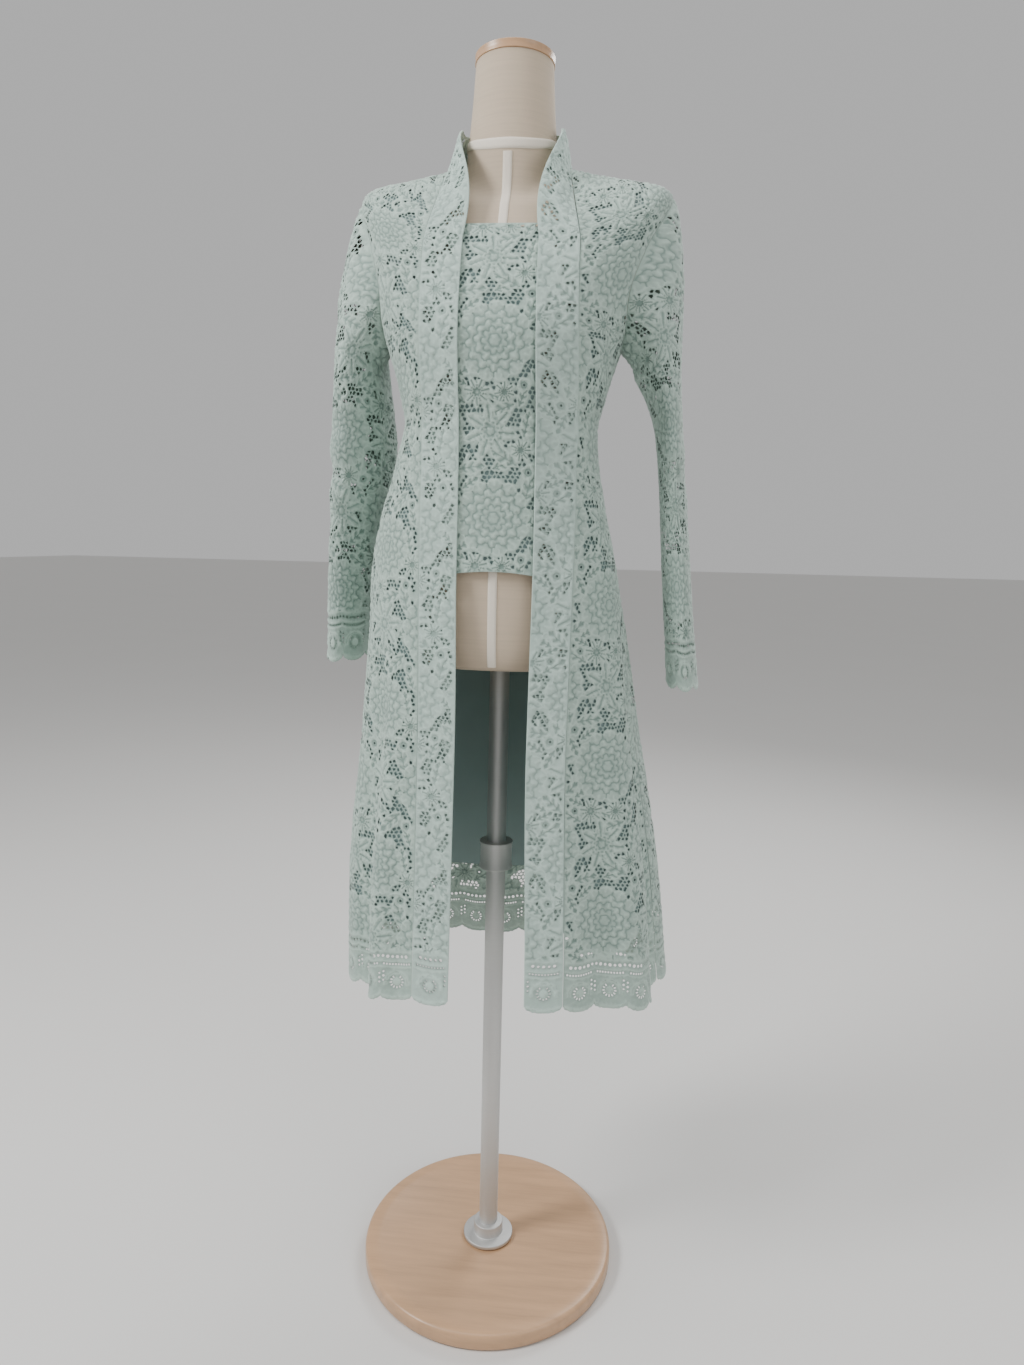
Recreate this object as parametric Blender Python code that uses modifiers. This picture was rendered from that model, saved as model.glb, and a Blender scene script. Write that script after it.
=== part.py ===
"""A kutubaru kebaya, a long lace blouse, on a limbless dress form with a round stand.

Metres, +Z up. The origin is under the middle of the stand's base. The front faces -Y, and the
wearer's left is +X. Every cloth piece is a patch of one body surface, which is lofted through
the sections below: a place on it is a row, counted in sections down from the neck, and a turn in
degrees, from 0 at the centre front to 90 at the wearer's left side and 180 at the centre back.
"""

from collections import namedtuple
from math import atan2, copysign, cos, degrees, pi, radians, sin

import bmesh
import bpy
from mathutils import Vector

LACE = 0.0012  # one layer of corded lace
BAND = 0.0024  # the front bands are folded double
LINING = 0.0010
SEAM = 0.0005  # half of the gap between two pieces at a seam

# The outer face of the body's lace. Upper sections rise from the centre front and back to the
# shoulders, so each has three heights. right and left are half widths, front and back depths,
# mid_y is where the sides are, and square is 2 for an ellipse and more for a squarer section.
Section = namedtuple("Section", "name front_z side_z back_z right left front back mid_y square")
SECTIONS = (
    Section("neck", 1.383, 1.414, 1.434, 0.069, 0.071, 0.046, 0.087, 0.020, 2.0),
    Section("collarbone", 1.358, 1.405, 1.414, 0.112, 0.116, 0.065, 0.090, 0.022, 2.1),
    Section("shoulder tip", 1.325, 1.386, 1.380, 0.174, 0.188, 0.084, 0.096, 0.022, 2.3),
    Section("mid armhole", 1.285, 1.328, 1.333, 0.170, 0.178, 0.103, 0.100, 0.018, 2.4),
    Section("chest", 1.245, 1.260, 1.270, 0.155, 0.155, 0.116, 0.099, 0.010, 2.4),
    Section("bust", 1.205, 1.206, 1.210, 0.140, 0.136, 0.123, 0.094, 0.004, 2.4),
    Section("under bust", 1.155, 1.155, 1.155, 0.126, 0.121, 0.117, 0.084, 0.000, 2.3),
    Section("waist", 1.105, 1.105, 1.105, 0.122, 0.112, 0.106, 0.078, 0.000, 2.2),
    Section("high hip", 1.020, 1.020, 1.020, 0.147, 0.126, 0.104, 0.092, 0.000, 2.2),
    Section("hip", 0.950, 0.950, 0.950, 0.161, 0.142, 0.107, 0.108, 0.000, 2.2),
    Section("seat", 0.860, 0.860, 0.860, 0.165, 0.158, 0.113, 0.119, 0.000, 2.2),
    Section("thigh", 0.740, 0.735, 0.735, 0.174, 0.177, 0.122, 0.131, 0.000, 2.1),
    Section("knee", 0.585, 0.575, 0.570, 0.188, 0.203, 0.135, 0.146, 0.000, 2.1),
    Section("hem", 0.440, 0.416, 0.404, 0.189, 0.221, 0.148, 0.160, 0.000, 2.1),
)
NECK, SHOULDER_TIP, UNDERARM, WAIST, HEM = 0, 2, 5, 7, 13
SIDE = 90.0
CENTRE_BACK = 180.0
SHOULDER_RISE = 3.0  # how late a section rises towards the shoulder

# The largest folds of the skirt: a ridge or, with a negative depth, a trough along the outward
# direction, which grows from its start row to the hem.
Fold = namedtuple("Fold", "turn spread depth start")
FOLDS = (
    Fold(-40, 11, 0.016, 9.5),
    Fold(-54, 12, -0.012, 9.0),
    Fold(-74, 16, 0.003, 8.5),
    Fold(41, 13, -0.007, 9.5),
    Fold(56, 15, 0.011, 9.0),
    Fold(80, 15, -0.021, 9.0),
    Fold(104, 16, 0.015, 8.5),
    Fold(132, 18, -0.012, 9.0),
    Fold(158, 18, 0.010, 9.0),
    Fold(185, 16, -0.008, 9.5),
    Fold(211, 20, 0.011, 8.5),
    Fold(243, 18, -0.010, 9.0),
)

ARMHOLE_FRONT = 29.0  # how far the armhole is cut forward of the side, in degrees
ARMHOLE_BACK = 25.0
ARMHOLE_ROUND = 0.75
ARMHOLE_GAP = 0.03  # the sleeve's gap below the shoulder tip and above the underarm, in rows

# The front bands. Their inner edges run almost straight up from the hem, at this distance from
# the centre front, and each band then turns up round the neck as half of the collar.
BAND_WIDTH = 0.044
BandRow = namedtuple("BandRow", "row right left")
BAND_EDGE = (
    BandRow(2.5, 0.041, 0.043),
    BandRow(7.0, 0.041, 0.046),
    BandRow(9.0, 0.041, 0.047),
    BandRow(11.0, 0.038, 0.046),
    BandRow(13.0, 0.038, 0.053),
)
BAND_TOP = 2.5  # the row where a band starts to turn up
NECK_POINT = 0.0675  # the band's outer edge at the neck ring, from the centre
COLLAR_LEAN_SIDE = 0.20  # how far the collar leans in towards the neck, for each unit that it rises
COLLAR_LEAN_BACK = 0.06
BAND_SWING = 0.9  # how early the outer edge swings in: 1 is evenly
BAND_COLUMNS = 3
TURNING_STEPS = 7  # up the turning stretch of the band
COLLAR_STEPS = 6  # round the neck to the centre back

YOKE_ROWS = 3
ARMHOLE_ROWS = 9
SKIRT_ROWS = 12
SKIRT_ROW = (HEM - UNDERARM) / SKIRT_ROWS
FRONT_COLUMNS = 7
FRONT_TOP = 0.03
BAND_CLEAR = 3.0  # a front's gap to its band, in half seam gaps
BACK_COLUMNS = 14
ROW_CLEAR = 0.1  # the least distance from a panel's edge to its next row

# The centre panel lies under the bands. Its top and its bottom are rows.
CENTRE_PANEL_TOP = 1.9
CENTRE_PANEL_BOTTOM = 9.08
CENTRE_PANEL_HALF = 0.049
CENTRE_PANEL_SINK = 0.0034
CENTRE_COLUMNS = 6

LINING_SINK = 0.0024
FRONT_LINING_TOP = 2.0 / 3.0
BACK_LINING_TOP = 0.1
LINING_BOTTOM = HEM - SKIRT_ROW
CENTRE_LINING_SINK = 0.0054
CENTRE_LINING_BOTTOM = 9.0
CENTRE_LINING_INSET = 0.001

# One ring round a hanging sleeve: out is its middle from the centre, half_out and half_deep are
# its half axes, and twist turns its back edge inwards, in degrees.
SleeveRing = namedtuple("SleeveRing", "z out y half_out half_deep twist")
SLEEVE_RIGHT = (
    SleeveRing(1.185, 0.182, 0.020, 0.030, 0.058, 5),
    SleeveRing(1.085, 0.182, 0.032, 0.028, 0.057, 22),
    SleeveRing(0.960, 0.196, 0.046, 0.024, 0.056, 17),
    SleeveRing(0.829, 0.206, 0.040, 0.021, 0.052, 8),
)
SLEEVE_LEFT = (
    SleeveRing(1.185, 0.181, 0.018, 0.027, 0.062, 4),
    SleeveRing(1.115, 0.199, 0.022, 0.016, 0.061, 0),
    SleeveRing(0.950, 0.216, 0.024, 0.017, 0.058, 0),
    SleeveRing(0.811, 0.230, 0.020, 0.019, 0.053, 0),
)
SLEEVE_COLUMNS = 2 * ARMHOLE_ROWS
CAP_ROWS = 5  # from the armhole to the first ring of the table
SLEEVE_ROWS = 7  # from there to the cuff
CAP_REACH = 0.07  # how strongly the sleeve leaves the armhole outwards
CAP_OUT = Vector((0.66, 0.0, -0.75))

# The dress form: its neck and hips here, and between them the body's own sections, drawn in.
FORM_EASE = 0.0100
FORM_NECK = (
    Section("neck top", 1.533, 1.533, 1.533, 0.046, 0.046, 0.018, 0.074, 0.028, 2.0),
    Section("neck middle", 1.482, 1.482, 1.482, 0.049, 0.049, 0.024, 0.074, 0.025, 2.0),
    Section("neck low", 1.428, 1.440, 1.446, 0.053, 0.053, 0.031, 0.075, 0.022, 2.0),
)
FORM_HIPS = (
    Section("form high hip", 1.020, 1.020, 1.020, 0.118, 0.118, 0.092, 0.081, 0.000, 2.2),
    Section("form hip", 0.935, 0.935, 0.935, 0.130, 0.130, 0.096, 0.095, 0.000, 2.2),
    Section("form low hip", 0.865, 0.865, 0.865, 0.129, 0.129, 0.094, 0.094, 0.000, 2.2),
    Section("form edge", 0.836, 0.836, 0.836, 0.122, 0.122, 0.088, 0.088, 0.000, 2.2),
    Section("form bottom", 0.830, 0.830, 0.830, 0.112, 0.112, 0.079, 0.079, 0.000, 2.2),
)
FORM_COLUMNS = 28
FORM_ROWS_EACH = 2  # for each section
NECK_TAPE_ROW = 2.0
NECK_TAPE_HALF = 0.11  # half of its width, in rows
TAPE_WIDTH = 0.009
TAPE = 0.0010
TAPE_LIFT = 0.0004

CAP_RADIUS = 0.0475
CAP_RIM = 0.010
CAP_DOME = 0.009
POLE_RADIUS = 0.0125
BASE_RADIUS = 0.170
BASE_THICK = 0.022
BASE_EDGE = 0.006
BEVEL = 0.002  # the small edges of the cap and the base
TOUCH = 0.0003  # the gap between two hard pieces that touch
TURNED_SIDES = 40

Finish = namedtuple("Finish", "colour roughness metallic")
LACE_FINISH = Finish((0.50, 0.62, 0.55), 0.85, 0.0)
LINING_FINISH = Finish((0.30, 0.42, 0.42), 0.45, 0.0)
LINEN_FINISH = Finish((0.62, 0.55, 0.45), 0.9, 0.0)
TAPE_FINISH = Finish((0.80, 0.76, 0.68), 0.85, 0.0)
WOOD_FINISH = Finish((0.62, 0.42, 0.26), 0.45, 0.0)
STEEL_FINISH = Finish((0.62, 0.62, 0.62), 0.35, 1.0)


def mix(a, b, share):
    return a + (b - a) * share


def smooth(share):
    """0 to 1 with a soft start and a soft end."""
    share = min(max(share, 0.0), 1.0)
    return share * share * (3.0 - 2.0 * share)


def through(before, start, end, after, share):
    """A number on the Catmull-Rom curve through four values, between the middle two."""
    return 0.5 * (
        2.0 * start
        + (end - before) * share
        + (2.0 * before - 5.0 * start + 4.0 * end - after) * share**2
        + (3.0 * start - before - 3.0 * end + after) * share**3
    )


def row_of_table(table, place, names):
    """The named columns of a table at a place between its rows."""
    index = min(max(int(place), 0), len(table) - 2)
    picked = [table[min(max(index + step, 0), len(table) - 1)] for step in (-1, 0, 1, 2)]
    share = place - index
    return {name: through(*[getattr(row, name) for row in picked], share) for name in names}


def body_point(sections, row, turn, folds=()):
    """A point on the surface that is lofted through the sections."""
    place = row_of_table(sections, row, Section._fields[1:])
    across, along = sin(radians(turn)), cos(radians(turn))
    half = place["left"] if across >= 0.0 else place["right"]
    middle = place["mid_y"]
    reach = place["front"] + middle if along >= 0.0 else place["back"] - middle
    level = place["front_z"] if along >= 0.0 else place["back_z"]
    power = 2.0 / place["square"]
    x = copysign(half * abs(across) ** power, across)
    y = middle - copysign(reach * abs(along) ** power, along)
    z = mix(level, place["side_z"], abs(across) ** SHOULDER_RISE)
    out = Vector((x / half**2, (y - middle) / reach**2, 0.0)).normalized()
    return Vector((x, y, z)) + out * fold_depth(row, turn, folds)


def fold_depth(row, turn, folds):
    total = 0.0
    for fold in folds:
        away = abs((turn - fold.turn + 180.0) % 360.0 - 180.0) / fold.spread
        if away < 1.0 and row > fold.start:
            growth = smooth((row - fold.start) / (HEM - fold.start))
            total += fold.depth * growth * (0.5 + 0.5 * cos(pi * away))
    return total


def lifted(sections, row, turn, lift, folds=()):
    """A point of the surface moved out along its normal."""
    step, sweep = 0.02, 0.4
    down = body_point(sections, row + step, turn, folds) - body_point(sections, row - step, turn, folds)
    round_ = body_point(sections, row, turn + sweep, folds)
    round_ -= body_point(sections, row, turn - sweep, folds)
    return body_point(sections, row, turn, folds) + down.cross(round_).normalized() * lift


def cloth(row, turn, lift=0.0):
    return lifted(SECTIONS, row, turn, lift, FOLDS)


def turn_at(row, x):
    """The turn on the front where the body surface is x from the centre."""
    place = row_of_table(SECTIONS, row, ("right", "left", "square"))
    half = place["left"] if x >= 0.0 else place["right"]
    across = min(abs(x) / half, 1.0) ** (place["square"] / 2.0)
    return copysign(degrees(atan2(across, (1.0 - across * across) ** 0.5)), x)


def seam_turn(row, turn, gap=SEAM):
    """The turn that covers the seam's half gap at a place."""
    away = body_point(SECTIONS, row, turn + 1.0, FOLDS) - body_point(SECTIONS, row, turn - 1.0, FOLDS)
    return gap / (away.length / 2.0)


def armhole_turn(row, cut):
    """How far from the side the armhole's edge is at a row."""
    share = (row - SHOULDER_TIP) / (UNDERARM - SHOULDER_TIP)
    if share <= 0.0 or share >= 1.0:
        return 0.0
    return cut * sin(pi * share) ** ARMHOLE_ROUND


def band_inner(row, side):
    """The inner edge of a band, from the centre: the straight stretches join at the table's rows."""
    column = "left" if side > 0 else "right"
    row = min(max(row, BAND_EDGE[0].row), BAND_EDGE[-1].row)
    for upper, lower in zip(BAND_EDGE, BAND_EDGE[1:]):
        if row <= lower.row:
            share = smooth((row - upper.row) / (lower.row - upper.row))
            return mix(getattr(upper, column), getattr(lower, column), share)
    return getattr(BAND_EDGE[-1], column)


def band_outer(row, side):
    """The outer edge of a band, which swings in to the neck point above the band's top row."""
    if row >= BAND_TOP:
        return band_inner(row, side) + BAND_WIDTH
    return mix(NECK_POINT, band_inner(BAND_TOP, side) + BAND_WIDTH, (row / BAND_TOP) ** BAND_SWING)


def steps(start, end, count):
    return [mix(start, end, index / count) for index in range(count + 1)]


def panel_rows(top, bottom):
    """Rows down a body panel: closer together round the armhole."""
    rows = steps(NECK, SHOULDER_TIP, YOKE_ROWS)[:-1]
    rows += steps(SHOULDER_TIP, UNDERARM, ARMHOLE_ROWS)[:-1]
    rows += steps(UNDERARM, HEM, SKIRT_ROWS)[:-1]
    return [top] + [row for row in rows if top + ROW_CLEAR < row < bottom - ROW_CLEAR] + [bottom]


def add_object(name, mesh, finish, collection):
    obj = bpy.data.objects.new(name, mesh)
    obj.data.materials.append(material_of(name, finish))
    collection.objects.link(obj)
    return obj


def material_of(name, finish):
    material = bpy.data.materials.new(name)
    material.use_nodes = True
    shader = material.node_tree.nodes["Principled BSDF"]
    shader.inputs["Base Color"].default_value = (*finish.colour, 1.0)
    shader.inputs["Roughness"].default_value = finish.roughness
    shader.inputs["Metallic"].default_value = finish.metallic
    material.diffuse_color = (*finish.colour, 1.0)
    return material


def grid_mesh(name, rows, closed=False, capped=False):
    """A mesh with a quad between each two neighbouring points of the rows. The faces point to the
    left of a walk down the rows, as seen along the columns' order."""
    shell = bmesh.new()
    grid = [[shell.verts.new(point) for point in row] for row in rows]
    for upper, lower in zip(grid, grid[1:]):
        span = len(upper) if closed else len(upper) - 1
        for column in range(span):
            following = (column + 1) % len(upper)
            shell.faces.new((upper[column], lower[column], lower[following], upper[following]))
    if capped:
        shell.faces.new(grid[0])
        shell.faces.new(reversed(grid[-1]))
    mesh = bpy.data.meshes.new(name)
    shell.to_mesh(mesh)
    shell.free()
    mesh.shade_smooth()
    return mesh


def sheet(name, rows, thickness, finish, collection, closed=False):
    """A cloth wall: an open surface whose thickness goes inwards."""
    obj = add_object(name, grid_mesh(name, rows, closed), finish, collection)
    wall = obj.modifiers.new("wall", "SOLIDIFY")
    wall.thickness = thickness
    wall.offset = -1.0
    wall.use_even_offset = True
    return obj


def front_lines(side, lift, rows):
    """Points across a front or its lining, from the band's edge to the armhole and the side."""
    grid = []
    for row in rows:
        inner = abs(turn_at(row, side * band_outer(row, side)))
        inner += BAND_CLEAR * seam_turn(row, side * inner)
        outer = SIDE - armhole_turn(row, ARMHOLE_FRONT) - seam_turn(row, side * SIDE)
        line = [cloth(row, side * turn, lift) for turn in steps(inner, outer, FRONT_COLUMNS)]
        grid.append(line if side > 0 else line[::-1])
    return grid


def build_front(side, word, collection):
    outside = front_lines(side, 0.0, panel_rows(FRONT_TOP, HEM))
    sheet(f"front_{word}", outside, LACE, LACE_FINISH, collection)
    backing = front_lines(side, -LINING_SINK, panel_rows(FRONT_LINING_TOP, LINING_BOTTOM))
    sheet(f"lining_front_{word}", backing, LINING, LINING_FINISH, collection)


def back_lines(lift, rows):
    """Points across the back or its lining, from the left side or armhole to the right."""
    grid = []
    for row in rows:
        left = SIDE + armhole_turn(row, ARMHOLE_BACK) + seam_turn(row, SIDE)
        right = 360.0 - SIDE - armhole_turn(row, ARMHOLE_BACK) - seam_turn(row, -SIDE)
        grid.append([cloth(row, turn, lift) for turn in steps(left, right, BACK_COLUMNS)])
    return grid


def build_back(collection):
    sheet("back", back_lines(0.0, panel_rows(0.0, HEM)), LACE, LACE_FINISH, collection)
    backing = back_lines(-LINING_SINK, panel_rows(BACK_LINING_TOP, LINING_BOTTOM))
    sheet("lining_back", backing, LINING, LINING_FINISH, collection)


def centre_lines(lift, half, bottom):
    """Points across the centre panel or its lining, from the right edge to the left."""
    grid = []
    for row in panel_rows(CENTRE_PANEL_TOP, bottom):
        grid.append([cloth(row, turn_at(row, x), lift) for x in steps(-half, half, CENTRE_COLUMNS)])
    return grid


def build_centre_panel(collection):
    panel = centre_lines(-CENTRE_PANEL_SINK, CENTRE_PANEL_HALF, CENTRE_PANEL_BOTTOM)
    sheet("centre_panel", panel, LACE, LACE_FINISH, collection)
    half = CENTRE_PANEL_HALF - CENTRE_LINING_INSET
    backing = centre_lines(-CENTRE_LINING_SINK, half, CENTRE_LINING_BOTTOM)
    sheet("lining_centre", backing, LINING, LINING_FINISH, collection)


def band_lines(side):
    """The outer and inner edges of a band, from the hem up the front and round to the back."""
    lift = BAND - LACE
    outer, inner = [], []
    for row in reversed(panel_rows(BAND_TOP, HEM)):
        outer.append(cloth(row, turn_at(row, side * band_outer(row, side)), lift))
        inner.append(cloth(row, turn_at(row, side * band_inner(row, side)), lift))
    lying = (inner[-1] - outer[-1]).normalized()
    rows = steps(BAND_TOP, NECK, TURNING_STEPS)[1:]
    turning = [(row, abs(turn_at(row, side * band_outer(row, side)))) for row in rows]
    round_neck = [(NECK, turn) for turn in steps(turning[-1][1], CENTRE_BACK, COLLAR_STEPS)[1:]]
    stations = turning + round_neck
    for index, (row, turn) in enumerate(stations):
        if turn == CENTRE_BACK:
            turn -= 2.0 * seam_turn(NECK, CENTRE_BACK)
        place = cloth(row, side * turn, lift)
        middle = Vector((0.0, SECTIONS[0].mid_y, place.z))
        inward = (middle - place).normalized()
        lean = mix(COLLAR_LEAN_SIDE, COLLAR_LEAN_BACK, smooth((turn - SIDE) / SIDE))
        standing = (Vector((0.0, 0.0, 1.0)) + lean * inward).normalized()
        share = smooth((index + 1) / len(turning))
        direction = lying.slerp(standing, share) if share < 1.0 else standing
        place += direction * 2.0 * SEAM * share
        outer.append(place)
        inner.append(place + direction * BAND_WIDTH)
    return outer, inner


def build_band(side, name, collection):
    grid = []
    for outer, inner in zip(*band_lines(side)):
        line = [outer.lerp(inner, share) for share in steps(0.0, 1.0, BAND_COLUMNS)]
        grid.append(line if side < 0 else line[::-1])
    sheet(name, grid[::-1], BAND, LACE_FINISH, collection)


def armhole_loop(side):
    """The armhole, at the panels' own rows, from the shoulder tip down the front and up the back."""
    edges = []
    for cut, way in ((ARMHOLE_FRONT, -1.0), (ARMHOLE_BACK, 1.0)):
        edge = []
        for row in steps(SHOULDER_TIP, UNDERARM, ARMHOLE_ROWS):
            inside = min(max(row, SHOULDER_TIP + ARMHOLE_GAP), UNDERARM - ARMHOLE_GAP)
            away = max(armhole_turn(row, cut) - seam_turn(row, side * SIDE), 0.0)
            edge.append(cloth(inside, side * (SIDE + way * away)))
        edges.append(edge)
    front, back = edges
    return front[:-1] + back[:0:-1]


def sleeve_ring(table, place, side):
    ring = row_of_table(table, place, SleeveRing._fields)
    points = []
    for column in range(SLEEVE_COLUMNS):
        angle = 2.0 * pi * column / SLEEVE_COLUMNS
        out, deep = ring["half_out"] * cos(angle), -ring["half_deep"] * sin(angle)
        twist = radians(ring["twist"])
        x = ring["out"] + out * cos(twist) - deep * sin(twist)
        y = ring["y"] + out * sin(twist) + deep * cos(twist)
        points.append(Vector((side * x, y, ring["z"])))
    return points


def sleeve_cap(loop, ring, side):
    """Rings from the armhole to the first sleeve ring, each column on a Hermite curve."""
    leave = Vector((side * CAP_OUT.x, CAP_OUT.y, CAP_OUT.z)) * CAP_REACH
    rings = []
    for share in steps(0.0, 1.0, CAP_ROWS)[:-1]:
        start, end = 2 * share**3 - 3 * share**2 + 1, 3 * share**2 - 2 * share**3
        away, arrive = share**3 - 2 * share**2 + share, share**3 - share**2
        points = []
        for first, last in zip(loop, ring):
            fall = Vector((0.0, 0.0, last.z - first.z))
            points.append(start * first + end * last + away * leave + arrive * fall)
        rings.append(points)
    return rings


def build_sleeve(side, name, table, collection):
    lower = [sleeve_ring(table, place, side) for place in steps(0.0, len(table) - 1.0, SLEEVE_ROWS)]
    rings = sleeve_cap(armhole_loop(side), lower[0], side) + lower
    if side > 0:
        rings = [ring[::-1] for ring in rings]
    sheet(name, rings, LACE, LACE_FINISH, collection, closed=True)


def form_sections():
    """The dress form's sections: its neck, the drawn-in body sections to the waist, its hips."""
    body = []
    for row in range(WAIST + 1):
        section = SECTIONS[row]
        drop = FORM_EASE * (1.0 - smooth((row - SHOULDER_TIP) / 2.0))
        half = min(section.right, section.left) - FORM_EASE
        body.append(
            section._replace(
                front_z=section.front_z - drop * 0.5,
                side_z=section.side_z - drop,
                back_z=section.back_z - drop,
                right=half,
                left=half,
                front=section.front - FORM_EASE,
                back=section.back - FORM_EASE,
            )
        )
    return FORM_NECK + tuple(body) + FORM_HIPS


def build_form(collection):
    sections = form_sections()
    rows = steps(0.0, len(sections) - 1.0, FORM_ROWS_EACH * (len(sections) - 1))
    turns = steps(0.0, 360.0, FORM_COLUMNS)[:-1]
    rings = [[body_point(sections, row, turn) for turn in turns] for row in rows]
    mesh = grid_mesh("form_body", rings, closed=True, capped=True)
    add_object("form_body", mesh, LINEN_FINISH, collection)
    build_neck_tape(sections, turns, collection)
    build_front_tape(sections, rows, collection)


def build_neck_tape(sections, turns, collection):
    """A tape round the base of the neck."""
    lift = TAPE_LIFT + TAPE
    rows = [NECK_TAPE_ROW - NECK_TAPE_HALF, NECK_TAPE_ROW, NECK_TAPE_ROW + NECK_TAPE_HALF]
    rings = [[lifted(sections, row, turn, lift) for turn in turns] for row in rows]
    sheet("neck_tape", rings, TAPE, TAPE_FINISH, collection, closed=True)


def build_front_tape(sections, form_rows, collection):
    """A tape down the centre front, from the neck tape to the form's bottom edge."""
    lift = TAPE_LIFT + TAPE
    top = NECK_TAPE_ROW + 1.5 * NECK_TAPE_HALF
    strip = []
    for row in [top] + [row for row in form_rows if top + ROW_CLEAR < row <= len(sections) - 2]:
        reach = degrees(TAPE_WIDTH / 2.0 / row_of_table(sections, row, ("left",))["left"])
        strip.append([lifted(sections, row, turn, lift) for turn in (-reach, 0.0, reach)])
    sheet("front_tape", strip, TAPE, TAPE_FINISH, collection)


def turned(name, profile, finish, collection):
    """A round piece from its outer profile, given as (radius, z) from the top down."""
    mesh = bpy.data.meshes.new(name)
    points = [(radius, 0.0, z) for radius, z in profile]
    mesh.from_pydata(points, [(index, index + 1) for index in range(len(points) - 1)], [])
    obj = add_object(name, mesh, finish, collection)
    screw = obj.modifiers.new("turn", "SCREW")
    screw.steps = TURNED_SIDES
    screw.render_steps = TURNED_SIDES
    screw.use_merge_vertices = True
    screw.merge_threshold = 0.00001
    return obj


def build_neck_cap(collection):
    neck = FORM_NECK[0]
    bottom = neck.side_z + TOUCH
    dome = [
        (CAP_RADIUS * sin(angle), bottom + CAP_RIM + CAP_DOME * cos(angle))
        for angle in (radians(step) for step in (0, 20, 40, 60, 80))
    ]
    rim = [(CAP_RADIUS, bottom + CAP_RIM - BEVEL / 2.0), (CAP_RADIUS, bottom + BEVEL)]
    under = [(CAP_RADIUS - BEVEL, bottom), (0.0, bottom)]
    turned("neck_cap", dome + rim + under, WOOD_FINISH, collection).location.y = neck.mid_y


def build_stand(collection):
    top = BASE_THICK
    edge = [
        (BASE_RADIUS - BASE_EDGE + BASE_EDGE * sin(angle), top - BASE_EDGE + BASE_EDGE * cos(angle))
        for angle in (radians(step) for step in (0, 30, 60, 90))
    ]
    foot = [(BASE_RADIUS, BEVEL), (BASE_RADIUS - BEVEL, 0.0), (0.0, 0.0)]
    turned("stand_base", [(0.0, top)] + edge + foot, WOOD_FINISH, collection)
    low, high = top + TOUCH, FORM_HIPS[-1].side_z - TOUCH
    pole = [(0.0, high), (POLE_RADIUS, high), (POLE_RADIUS, low), (0.0, low)]
    turned("stand_pole", pole, STEEL_FINISH, collection)


def clear_scene():
    for obj in list(bpy.data.objects):
        bpy.data.objects.remove(obj, do_unlink=True)


def main():
    clear_scene()
    collection = bpy.data.collections.new("kebaya_on_dress_form")
    bpy.context.scene.collection.children.link(collection)
    for side, word, table in ((1, "left", SLEEVE_LEFT), (-1, "right", SLEEVE_RIGHT)):
        build_front(side, word, collection)
        build_band(side, f"band_{word}", collection)
        build_sleeve(side, f"sleeve_{word}", table, collection)
    build_back(collection)
    build_centre_panel(collection)
    build_form(collection)
    build_neck_cap(collection)
    build_stand(collection)


main()
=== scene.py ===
from math import cos, pi, radians, sin

import bpy
import numpy as np
from mathutils import Matrix, Vector
from mathutils.geometry import delaunay_2d_cdt
from mathutils.kdtree import KDTree


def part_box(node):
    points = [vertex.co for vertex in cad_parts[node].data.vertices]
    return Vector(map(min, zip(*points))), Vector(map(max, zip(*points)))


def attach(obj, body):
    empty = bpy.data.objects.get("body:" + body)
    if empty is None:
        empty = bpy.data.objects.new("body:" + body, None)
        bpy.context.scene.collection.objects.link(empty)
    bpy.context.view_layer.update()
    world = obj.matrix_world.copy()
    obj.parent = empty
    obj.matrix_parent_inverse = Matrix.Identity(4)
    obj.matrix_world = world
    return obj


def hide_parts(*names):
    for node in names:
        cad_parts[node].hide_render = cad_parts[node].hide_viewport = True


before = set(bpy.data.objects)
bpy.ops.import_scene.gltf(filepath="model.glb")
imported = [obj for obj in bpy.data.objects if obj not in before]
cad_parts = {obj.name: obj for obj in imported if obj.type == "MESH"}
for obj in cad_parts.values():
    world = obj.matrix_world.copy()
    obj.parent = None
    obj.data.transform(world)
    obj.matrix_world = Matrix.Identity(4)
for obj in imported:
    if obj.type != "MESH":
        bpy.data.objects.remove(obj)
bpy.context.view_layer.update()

bl_info = {
    "name": "Kebaya on a dress form",
    "version": (1, 0, 0),
    "blender": (4, 5, 0),
    "location": "3D View > Sidebar > Kebaya",
    "description": "Builds a corded lace kebaya, its lining and the linen dress form that it hangs on",
    "category": "Add Mesh",
}

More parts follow.
